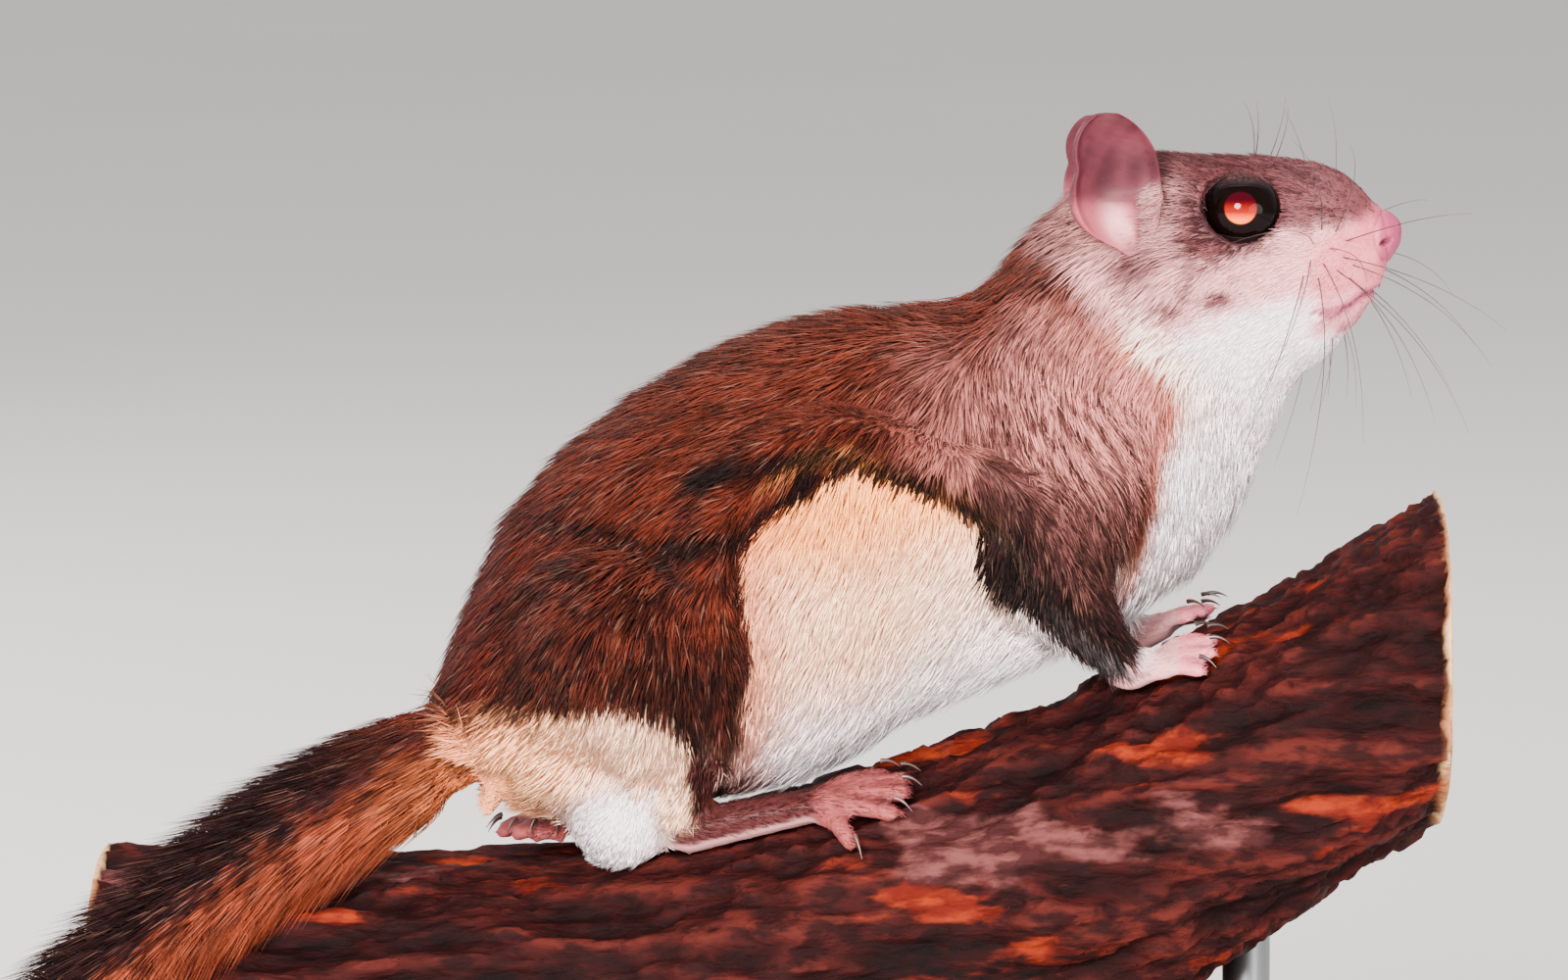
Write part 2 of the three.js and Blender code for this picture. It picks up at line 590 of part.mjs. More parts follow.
const tail = tailSolid().subtract(boughRoom);
const TAIL_CUTS = [
  { point: TAIL_STOPS[3], direction: [-0.66, -0.54, -0.52] },
  { point: TAIL_STOPS[6], direction: [-0.74, -0.2, -0.64] },
];
pieces.tail_base = tail.intersect(behind(TAIL_CUTS[0]));
pieces.tail_middle = tail.intersect(ahead(TAIL_CUTS[0])).intersect(behind(TAIL_CUTS[1]));
pieces.tail_end = tail.intersect(ahead(TAIL_CUTS[1]));

for (const [name, foot] of Object.entries(FEET)) {
  foot.digits.forEach((digit, index) => {
    pieces[`claw_${name}_${index + 1}`] = clawSolid(foot, digit).subtract(boughRoom);
  });
}

// The stand

function rodSolid(x, radius, below, above) {
  const rod = new THREE.CylinderGeometry(radius, radius, above - below, 12).rotateX(Math.PI / 2);
  return solidFrom(rod.translate(x, 0, (above + below) / 2));
}

function baseSolid() {
  const corner = BASE_CORNER;
  const [x, y] = [BASE_LENGTH / 2 - corner, BASE_WIDTH / 2 - corner];
  const outline = new THREE.Shape();
  outline.absarc(x, y, corner, 0, Math.PI / 2);
  outline.absarc(-x, y, corner, Math.PI / 2, Math.PI);
  outline.absarc(-x, -y, corner, Math.PI, 1.5 * Math.PI);
  outline.absarc(x, -y, corner, 1.5 * Math.PI, 2 * Math.PI);
  const settings = { depth: BASE_THICK, bevelEnabled: false, curveSegments: 5 };
  const plate = new THREE.ExtrudeGeometry(outline, settings);
  return solidFrom(plate.translate(0, 0, -BARK_ABOVE_FLOOR));
}

const baseTop = BASE_THICK - BARK_ABOVE_FLOOR;
let boughWithSockets = bough;
let baseWithSockets = baseSolid();
for (const [name, x] of Object.entries(ROD_PLACES)) {
  const underside = boughPoint(x, Math.PI).z;
  const [below, above] = [baseTop - ROD_SOCKET, underside + ROD_SOCKET];
  const socket = rodSolid(x, ROD_RADIUS + GAP, below - GAP, above + GAP);
  pieces[`stand_rod_${name}`] = rodSolid(x, ROD_RADIUS, below, above);
  boughWithSockets = boughWithSockets.subtract(socket);
  baseWithSockets = baseWithSockets.subtract(socket);
}
pieces.bough = boughWithSockets;
pieces.stand_base = baseWithSockets;

// Colours

const COLOURS = {
  head: 0x9a7370, neck: 0xa56f62, trunk: 0x8a4a38, nose: 0xd98aa0, ear: 0xb98492, eye: 0x140a0a,
  thigh: 0x6e3626, shank: 0x7c4a42, foot: 0xc99095, upper_arm: 0x8e5f58, forearm: 0x6a3d3c, hand: 0xd7a1a8,
  patagium: 0x4a2524, scrotum: 0xf2dfdf, tail: 0x5c2d28, claw: 0x5a3c36, bough: 0x4a2622,
  stand_base: 0x2b2b2d, stand_rod: 0xb9bcc0,
};
const FINISHES = { eye: [0.05, 0], stand_rod: [0.3, 1], stand_base: [0.45, 0] };

function finishOf(name) {
  const starts = Object.keys(COLOURS).filter((start) => name.startsWith(start));
  const key = starts.sort((a, b) => b.length - a.length)[0];
  const [roughness, metalness] = FINISHES[key] ?? [0.9, 0];
  return new THREE.MeshStandardMaterial({ color: COLOURS[key], roughness, metalness });
}

const squirrel = new THREE.Group();
squirrel.name = 'flying_squirrel';
squirrel.position.z = BARK_ABOVE_FLOOR;
for (const [name, solid] of Object.entries(pieces)) {
  const mesh = new THREE.Mesh(geometryFrom(largestBody(solid)), finishOf(name));
  mesh.name = name;
  squirrel.add(mesh);
}

export default squirrel;
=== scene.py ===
"""A flying squirrel crouched on a cut bough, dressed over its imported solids."""
import logging
import math
from dataclasses import dataclass, field
from enum import Enum

import bmesh
import bpy
import numpy as np
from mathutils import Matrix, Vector, noise
from mathutils.bvhtree import BVHTree
from mathutils.kdtree import KDTree


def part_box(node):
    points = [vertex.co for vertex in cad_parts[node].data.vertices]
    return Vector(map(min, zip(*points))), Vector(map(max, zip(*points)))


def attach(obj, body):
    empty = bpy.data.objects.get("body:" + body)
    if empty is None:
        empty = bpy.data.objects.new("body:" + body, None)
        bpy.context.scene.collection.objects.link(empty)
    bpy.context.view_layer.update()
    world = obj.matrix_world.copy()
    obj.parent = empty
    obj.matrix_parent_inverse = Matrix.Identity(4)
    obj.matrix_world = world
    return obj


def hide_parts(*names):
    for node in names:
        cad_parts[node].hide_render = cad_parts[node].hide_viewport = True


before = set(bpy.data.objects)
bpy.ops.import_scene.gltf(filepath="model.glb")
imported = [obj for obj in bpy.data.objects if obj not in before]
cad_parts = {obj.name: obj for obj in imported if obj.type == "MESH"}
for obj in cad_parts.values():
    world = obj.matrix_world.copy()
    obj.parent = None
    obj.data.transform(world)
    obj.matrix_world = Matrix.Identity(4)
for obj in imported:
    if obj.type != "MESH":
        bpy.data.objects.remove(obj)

LOG = logging.getLogger("squirrel")
BODY = "root"
MM = 0.001
BARK_LEVEL = 85.0  # height of the bark under the belly over the floor, in millimetres
YAW_SLOPE = 0.08
YAW_PIVOT = 40.0
SIDES = {"right": -1, "left": 1}
Array = np.ndarray
NOSTRIL = (74.9, 3.2, 69.1)  # forward, sideways and height, in millimetres
MOUTH_LINE = ((74.6, 63.2), (73.8, 63.1), (72.0, 62.6), (70.7, 61.6), (68.3, 60.8), (66.6, 61.0))
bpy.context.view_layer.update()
FLOOR_REACH = 30.0  # half the floor's width, in metres


def midline(x: Array) -> Array:
    """Gives the sideways place of the animal's middle plane at x, in millimetres."""
    return YAW_SLOPE * (x - YAW_PIVOT)


def place(x: float, lateral: float, z: float) -> Array:
    """Turns a place along, beside and above the animal's own bark level into the frame, in metres."""
    return np.array([x, midline(x) + lateral, z + BARK_LEVEL]) * MM


def linear(rgb: tuple[float, float, float]) -> Array:
    """Turns a screen colour of 0 to 255 into the linear colour that a shader takes."""
    value = np.asarray(rgb, float) / 255.0
    return np.where(value <= 0.04045, value / 12.92, ((value + 0.055) / 1.055) ** 2.4)


def smoothstep(low: float, high: float, value: Array) -> Array:
    """Gives 0 below low, 1 above high and a smooth rise between them."""
    t = np.clip((value - low) / (high - low), 0.0, 1.0)
    return t * t * (3.0 - 2.0 * t)


def unit(rows: Array) -> Array:
    """Scales each row to length one."""
    return rows / np.maximum(np.linalg.norm(rows, axis=-1, keepdims=True), 1e-12)


def ripple(points: Array, scale: float, seed: int, octaves: int = 4) -> Array:
    """Gives a smooth random value from about -1 to 1 at each point.

    Args:
        points: rows of x, y and z in millimetres.
        scale: size of the broadest waves, in millimetres.
        seed: number that fixes the pattern.
        octaves: how many finer layers are added.
    """
    rng = np.random.default_rng(seed)
    total = np.zeros(len(points))
    reach = 0.0
    for octave in range(octaves):
        for _ in range(4):
            way = unit(rng.normal(size=3)) * (2 * math.pi / scale) * 1.9**octave
            total += np.sin(points @ way + rng.uniform(0, 2 * math.pi)) * 0.6**octave
        reach += 4 * 0.6**octave
    return total / reach * 2.2


# Meshes as arrays


@dataclass
class Shape:
    """A mesh as corner points and polygons of one size or mixed sizes."""

    points: Array
    faces: list


def merged_node(name: str) -> Shape:
    """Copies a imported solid's mesh with its loose corners joined."""
    mesh = bmesh.new()
    mesh.from_mesh(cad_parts[name].data)
    bmesh.ops.remove_doubles(mesh, verts=mesh.verts, dist=1e-6)
    bmesh.ops.recalc_face_normals(mesh, faces=mesh.faces)
    points = np.array([v.co[:] for v in mesh.verts])
    faces = [[v.index for v in f.verts] for f in mesh.faces]
    mesh.free()
    return Shape(points, faces)


def joined(shapes: list[Shape]) -> Shape:
    """Puts several shapes in one, without joining their corners."""
    points, faces, start = [], [], 0
    for shape in shapes:
        points.append(shape.points)
        faces.extend([[i + start for i in face] for face in shape.faces])
        start += len(shape.points)
    return Shape(np.concatenate(points), faces)


def mesh_object(name: str, shape: Shape, smooth: bool = True) -> bpy.types.Object:
    """Makes a scene object of a shape."""
    mesh = bpy.data.meshes.new(name)
    mesh.from_pydata(shape.points.tolist(), [], shape.faces)
    mesh.update()
    if smooth:
        mesh.shade_smooth()
    piece = bpy.data.objects.new(name, mesh)
    bpy.context.scene.collection.objects.link(piece)
    return piece


def baked_mesh(piece: bpy.types.Object) -> bpy.types.Mesh:
    """Gives the mesh that the piece's modifiers make, and removes them."""
    graph = bpy.context.evaluated_depsgraph_get()
    graph.update()
    mesh = bpy.data.meshes.new_from_object(piece.evaluated_get(graph))
    piece.modifiers.clear()
    return mesh


def remeshed(name: str, shape: Shape, voxel: float) -> bpy.types.Object:
    """Joins overlapping closed shapes into one closed skin of even squares."""
    piece = mesh_object(name, shape)
    step = piece.modifiers.new("skin", "REMESH")
    step.mode = "VOXEL"
    step.voxel_size = voxel
    piece.data = baked_mesh(piece)
    piece.data.name = name
    return piece


def corner_points(mesh: bpy.types.Mesh) -> Array:
    """Reads a mesh's points as rows."""
    flat = np.empty(len(mesh.vertices) * 3)
    mesh.vertices.foreach_get("co", flat)
    return flat.reshape(-1, 3)


def set_points(mesh: bpy.types.Mesh, points: Array) -> None:
    """Writes rows of points into a mesh."""
    mesh.vertices.foreach_set("co", points.ravel())
    mesh.update()


def corner_normals(mesh: bpy.types.Mesh) -> Array:
    """Reads the outward direction at each point of a mesh."""
    flat = np.empty(len(mesh.vertices) * 3)
    mesh.vertex_normals.foreach_get("vector", flat)
    return flat.reshape(-1, 3)


def edge_pairs(mesh: bpy.types.Mesh) -> Array:
    """Reads the two ends of each edge."""
    flat = np.empty(len(mesh.edges) * 2, dtype=np.int32)
    mesh.edges.foreach_get("vertices", flat)
    return flat.reshape(-1, 2)


def averaged(values: Array, pairs: Array, rounds: int, weight: Array | float = 0.5) -> Array:
    """Blends each point's value with those of its neighbours.

    Args:
        values: one row for each point.
        pairs: the edges as pairs of point numbers.
        rounds: how often the blend is repeated.
        weight: how far each point moves to the neighbours' mean, from 0 to 1.
    """
    count = len(values)
    rows = values.reshape(count, -1).astype(float)
    ends = np.concatenate([pairs[:, 0], pairs[:, 1]])
    others = np.concatenate([pairs[:, 1], pairs[:, 0]])
    degree = np.maximum(np.bincount(ends, minlength=count), 1)[:, None]
    share = weight[:, None] if isinstance(weight, np.ndarray) else weight
    for _ in range(rounds):
        sums = [np.bincount(ends, rows[others, c], count) for c in range(rows.shape[1])]
        mean = np.stack(sums, 1) / degree
        rows = rows + (mean - rows) * share
    return rows.reshape(values.shape)


def put_colours(mesh: bpy.types.Mesh, colours: Array, name: str = "coat") -> None:
    """Stores one linear colour for each point of a mesh."""
    layer = mesh.color_attributes.new(name, "FLOAT_COLOR", "POINT")
    rows = np.ones((len(mesh.vertices), 4))
    rows[:, :3] = np.clip(colours, 0.0, 1.0)
    layer.data.foreach_set("color", rows.ravel())


# Finishes


class Nodes:
    """A small helper that adds and links shader nodes."""

    def __init__(self, name: str) -> None:
        """Starts a material with one surface shader."""
        self.material = bpy.data.materials.new(name)
        self.material.use_nodes = True
        self.tree = self.material.node_tree
        self.shader = self.tree.nodes["Principled BSDF"]

    def add(self, kind: str, **settings: object) -> bpy.types.Node:
        """Adds a node, with its own settings or its inputs' values by name."""
        node = self.tree.nodes.new(kind)
        for key, value in settings.items():
            if hasattr(node, key):
                setattr(node, key, value)
            else:
                node.inputs[key.replace("_", " ")].default_value = value
        return node

    def link(self, source: bpy.types.NodeSocket, target: bpy.types.NodeSocket) -> None:
        """Links an output to an input."""
        self.tree.links.new(source, target)

    def set(self, **values: object) -> None:
        """Sets plain values on the surface shader."""
        for key, value in values.items():
            self.shader.inputs[key.replace("_", " ")].default_value = value

    def mix(self, factor: bpy.types.NodeSocket, low: object, high: object) -> bpy.types.NodeSocket:
        """Mixes two colours, each a plain colour or an output."""
        node = self.add("ShaderNodeMix", data_type="RGBA")
        self.link(factor, node.inputs[0])
        for value, socket in ((low, node.inputs[6]), (high, node.inputs[7])):
            if isinstance(value, bpy.types.NodeSocket):
                self.link(value, socket)
            else:
                socket.default_value = (*linear(value), 1.0)
        return node.outputs[2]

    def ramp(self, source: bpy.types.NodeSocket, low: float, high: float) -> bpy.types.NodeSocket:
        """Gives a smooth step of a value from low to high."""
        node = self.add("ShaderNodeMapRange", interpolation_type="SMOOTHSTEP")
        self.link(source, node.inputs["Value"])
        node.inputs["From Min"].default_value = low
        node.inputs["From Max"].default_value = high
        return node.outputs["Result"]

    def grain(self, scale: float, detail: float = 4.0, stretch: tuple = (1, 1, 1)) -> bpy.types.NodeSocket:
        """Gives cloudy noise on the piece's own coordinates."""
        place_node = self.add("ShaderNodeTexCoord")
        turn = self.add("ShaderNodeMapping")
        turn.inputs["Scale"].default_value = stretch
        self.link(place_node.outputs["Object"], turn.inputs["Vector"])
        node = self.add("ShaderNodeTexNoise")
        node.inputs["Scale"].default_value = scale
        node.inputs["Detail"].default_value = detail
        self.link(turn.outputs["Vector"], node.inputs["Vector"])
        return node.outputs["Fac"]

    def bump(self, height: bpy.types.NodeSocket, strength: float, distance: float) -> None:
        """Raises the surface's shading by a height."""
        node = self.add("ShaderNodeBump")
        node.inputs["Strength"].default_value = strength
        node.inputs["Distance"].default_value = distance
        self.link(height, node.inputs["Height"])
        self.link(node.outputs["Normal"], self.shader.inputs["Normal"])

    def attribute(self, name: str) -> bpy.types.NodeSocket:
        """Reads a stored colour."""
        return self.add("ShaderNodeVertexColor", layer_name=name).outputs["Color"]


@dataclass(frozen=True)
class StoredColourFinish:
    """A finish whose colour is stored on the mesh, for skin and fur."""

    name: str
    roughness: float
    specular: float
    sheen: float
    subsurface: float = 0.0
    bump_scale: float = 0.0
    bump_depth: float = 0.0

    def material(self) -> bpy.types.Material:
        """Builds the material."""
        nodes = Nodes(self.name)
        colour = nodes.attribute("coat")
        nodes.link(colour, nodes.shader.inputs["Base Color"])
        nodes.set(Roughness=self.roughness, Sheen_Weight=self.sheen, Sheen_Roughness=0.45)
        nodes.shader.inputs["Specular IOR Level"].default_value = self.specular
        if self.subsurface:
            nodes.set(Subsurface_Weight=self.subsurface, Subsurface_Scale=0.0012)
            nodes.shader.inputs["Subsurface Radius"].default_value = (1.0, 0.35, 0.25)
        if self.bump_scale:
            nodes.bump(nodes.grain(self.bump_scale, 6.0), 0.5, self.bump_depth)
        return nodes.material


@dataclass(frozen=True)
class EyeFinish:
    """A wet black eye whose pupil is painted with eyeshine, reflected light shown as deep red above and
    orange below.
    """

    pupil_radius: float = 2.06 * MM
    iris_radius: float = 3.9 * MM

    def material(self, name: str, front: Array) -> bpy.types.Material:
        """Builds the material.

        Args:
            name: the material's name.
            front: the middle of the pupil on the eyeball, in metres.
        """
        nodes = Nodes(name)
        coords = nodes.add("ShaderNodeTexCoord")
        away = nodes.add("ShaderNodeVectorMath", operation="DISTANCE")
        nodes.link(coords.outputs["Object"], away.inputs[0])
        away.inputs[1].default_value = front.tolist()
        split = nodes.add("ShaderNodeSeparateXYZ")
        nodes.link(coords.outputs["Object"], split.inputs[0])
        size = self.pupil_radius
        low = float(front[2] - size)
        # Painted eyeshine: the pupil's red and orange stand in for light reflected out of the eye, not the
        # eye's own colour.
        to_top = nodes.ramp(split.outputs["Z"], low + size * 0.7, low + size * 1.5)
        upper = nodes.mix(to_top, (118, 12, 2), (38, 1, 7))
        to_middle = nodes.ramp(split.outputs["Z"], low + size * 0.1, low + size * 0.8)
        painted_eyeshine = nodes.mix(to_middle, (226, 84, 10), upper)
        edge = nodes.ramp(away.outputs["Value"], self.pupil_radius * 0.93, self.pupil_radius * 1.05)
        iris = nodes.mix(nodes.grain(900.0, 3.0), (3, 1, 1), (9, 3, 2))
        inner = nodes.mix(edge, painted_eyeshine, iris)
        rim = nodes.ramp(away.outputs["Value"], self.iris_radius * 0.85, self.iris_radius * 1.05)
        nodes.link(nodes.mix(rim, inner, (4, 2, 2)), nodes.shader.inputs["Base Color"])
        nodes.set(Roughness=0.03, IOR=1.34)
        nodes.shader.inputs["Specular IOR Level"].default_value = 0.14
        return nodes.material


@dataclass(frozen=True)
class HornFinish:
    """Smooth dark horn, for claws and whiskers."""

    dark: tuple = (30, 16, 14)
    light: tuple = (74, 44, 38)
    roughness: float = 0.35

    def material(self, name: str) -> bpy.types.Material:
        """Builds the material."""
        nodes = Nodes(name)
        streak = nodes.ramp(nodes.grain(700.0, 3.0, (0.3, 1, 1)), 0.35, 0.7)
        nodes.link(nodes.mix(streak, self.dark, self.light), nodes.shader.inputs["Base Color"])
        nodes.set(Roughness=self.roughness, Coat_Weight=0.05, Coat_Roughness=0.3)
        return nodes.material


@dataclass(frozen=True)
class BarkFinish:
    """Rough dark bark, red where it has flaked, with pale sawn wood at the cut ends; darker in the fissures
    and lighter on the ridges, partly the bark's own tone and partly painted shade and highlight.
    """

    # fissure is partly painted shade and ridge partly painted highlight, both set by the relief.
    fissure: tuple = (20, 3, 3)
    plate: tuple = (38, 9, 8)
    ridge: tuple = (58, 18, 14)
    flaked: tuple = (104, 30, 10)
    lichen: tuple = (82, 44, 42)

    def material(self) -> bpy.types.Material:
        """Builds the material."""
        nodes = Nodes("bark")
        split = nodes.add("ShaderNodeSeparateColor")
        nodes.link(nodes.attribute("coat"), split.inputs[0])
        relief, sawn, rings = split.outputs
        # Colour by relief: partly the bark's own tone, partly painted shade in the fissures and painted
        # highlight on the ridges.
        body = nodes.mix(nodes.ramp(relief, 0.18, 0.66), self.fissure, self.plate)
        body = nodes.mix(nodes.ramp(relief, 0.6, 0.95), body, self.ridge)
        fine = nodes.ramp(nodes.grain(520.0, 9.0, (0.4, 1, 1)), 0.4, 0.62)
        body = nodes.mix(fine, nodes.mix(relief, (7, 2, 2), (26, 6, 6)), body)
        flakes = nodes.ramp(nodes.grain(95.0, 9.0, (0.28, 1, 1)), 0.59, 0.65)
        body = nodes.mix(flakes, body, nodes.mix(fine, (70, 14, 6), self.flaked))
        patches = nodes.ramp(nodes.grain(40.0, 9.0, (0.45, 1.1, 1)), 0.62, 0.655)
        body = nodes.mix(patches, body, nodes.mix(fine, (44, 18, 18), self.lichen))
        wood = nodes.mix(nodes.ramp(rings, 0.35, 0.7), (196, 152, 108), (150, 98, 62))
        nodes.link(nodes.mix(sawn, body, wood), nodes.shader.inputs["Base Color"])
        nodes.set(Roughness=0.75)
        nodes.shader.inputs["Specular IOR Level"].default_value = 0.05
        nodes.bump(nodes.grain(520.0, 10.0, (0.35, 1, 1)), 0.9, 0.0012)
        return nodes.material


@dataclass(frozen=True)
class StandFinish:
    """Satin black lacquer on the base, or brushed steel on the rods."""

    steel: bool

    def material(self) -> bpy.types.Material:
        """Builds the material."""
        nodes = Nodes("brushed_steel" if self.steel else "black_lacquer")
        if self.steel:
            brush = nodes.grain(900.0, 4.0, (1, 1, 0.04))
            steel = nodes.mix(brush, (150, 152, 155), (186, 187, 190))
            nodes.link(steel, nodes.shader.inputs["Base Color"])
            nodes.set(Metallic=1.0, Roughness=0.3)
            nodes.bump(brush, 0.15, 0.0002)
        else:
            orange_peel = nodes.grain(260.0, 3.0)
            lacquer = nodes.mix(orange_peel, (20, 20, 22), (30, 30, 32))
            nodes.link(lacquer, nodes.shader.inputs["Base Color"])
            nodes.set(Roughness=0.38, Coat_Weight=0.25, Coat_Roughness=0.2)
            nodes.bump(orange_peel, 0.1, 0.0003)
        return nodes.material


# Markings, shared by the skin and the coat


class Tint(Enum):
    """The colours of the coat and the bare skin, as screen colours."""

    BACK = (88, 32, 18)
    BACK_GREY = (102, 46, 33)
    SHOULDER = (198, 122, 114)
    RUMP = (84, 24, 12)
    THIGH = (74, 28, 18)
    # DARK is the painted shade laid into the folds.
    DARK = (12, 4, 4)
    # DARK_BROWN is also the painted shade in the paws' hollows.
    DARK_BROWN = (32, 11, 9)
    CROWN = (94, 46, 50)
    BROW = (116, 68, 72)
    # EYE_RING also serves as the painted shade in the nostrils.
    EYE_RING = (26, 10, 12)
    CHEEK = (228, 162, 162)
    WHITE = (255, 236, 238)
    WARM_WHITE = (255, 206, 178)
    CREAM = (255, 156, 82)
    PINK = (212, 100, 116)
    BUFF = (206, 104, 70)
    NOSE = (150, 60, 88)
    SHANK = (66, 27, 27)
    TOES = (138, 66, 66)
    TAIL_TOP = (38, 15, 16)
    TAIL_LOW = (162, 72, 44)
    TAIL_ROOT = (96, 34, 20)
    EAR = (74, 30, 38)
    # EAR_DARK is the ear's darker tone and also the painted shade in its hollow, fold and notch.
    EAR_DARK = (44, 16, 22)

    @property
    def shade(self) -> Array:
        """The colour as a shader takes it."""
        return linear(self.value)


def blended(base: Array, tint: Tint | Array, share: Array) -> Array:
    """Mixes a colour into each row of colours by its share."""
    colour = tint.shade if isinstance(tint, Tint) else tint
    return base + (colour - base) * share[:, None]


def line_height(points: tuple, x: Array) -> Array:
    """Gives the height of a marking's edge at x, from a few points along it."""
    rows = np.array(sorted(points))
    return np.interp(x, rows[:, 0], rows[:, 1])


def line_place(points: tuple, z: Array) -> Array:
    """Gives how far forward a marking's edge lies at a height."""
    rows = np.array(sorted((p[::-1] for p in points)))
    return np.interp(z, rows[:, 0], rows[:, 1])


def line_distance(points: tuple, x: Array, z: Array) -> Array:
    """Gives the distance to an open line of points, seen from the side."""
    best = np.full(len(x), 1e9)
    for (ax, az), (bx, bz) in zip(points, points[1:]):
        dx, dz = bx - ax, bz - az
        t = np.clip(((x - ax) * dx + (z - az) * dz) / (dx * dx + dz * dz), 0.0, 1.0)
        best = np.minimum(best, np.hypot(x - ax - t * dx, z - az - t * dz))
    return best


def soft_spot(x: Array, z: Array, middle: tuple, size: tuple) -> Array:
    """Gives 1 at a place seen from the side, with a soft fall to 0 round it."""
    return np.exp(-(((x - middle[0]) / size[0]) ** 2 + ((z - middle[1]) / size[1]) ** 2))


def nostril_distance(x: Array, side: Array, z: Array, size: tuple) -> Array:
    """Gives the distance to the middle of the nostril, in sizes along, beside and above it."""
    forward = x - NOSTRIL[0]
    height = z - NOSTRIL[2] - 0.35 * forward
    apart = (side - NOSTRIL[1]) / size[1]
    return np.sqrt((forward / size[0]) ** 2 + apart**2 + (height / size[2]) ** 2)


@dataclass(frozen=True)
class Spots:
    """Places of the coat as the markings read them, in millimetres.

    side is the distance from the middle plane, up the height of the outward direction there, and
    wobble and clump are the broad and the fine random wander of an edge.
    """

    x: Array
    z: Array
    side: Array
    up: Array
    wobble: Array
    clump: Array
    zones: dict

    @classmethod
    def of(cls, points: Array, normals: Array, zones: dict[str, Array]) -> "Spots":
        """Reads places that are given in metres."""
        mm = points / MM
        x, z = mm[:, 0], mm[:, 2] - BARK_LEVEL
        wobble = ripple(mm, 9.0, 3)
        clump = ripple(mm * np.array([0.7, 1.0, 1.0]), 3.2, 5)
        return cls(x, z, np.abs(mm[:, 1] - midline(x)), normals[:, 2], wobble, clump, zones)

    @property
    def edge(self) -> Array:
        """How far a marking's edge wanders at each place."""
        return self.wobble * 0.9 + self.clump * 0.5

    @property
    def lateral(self) -> Array:
        """1 on the flanks and 0 along the middle plane."""
        return smoothstep(5, 9, self.side)

    def filled(self, tint: Tint) -> Array:
        """Gives the same colour for each place."""
        return np.tile(tint.shade, (len(self.x), 1))


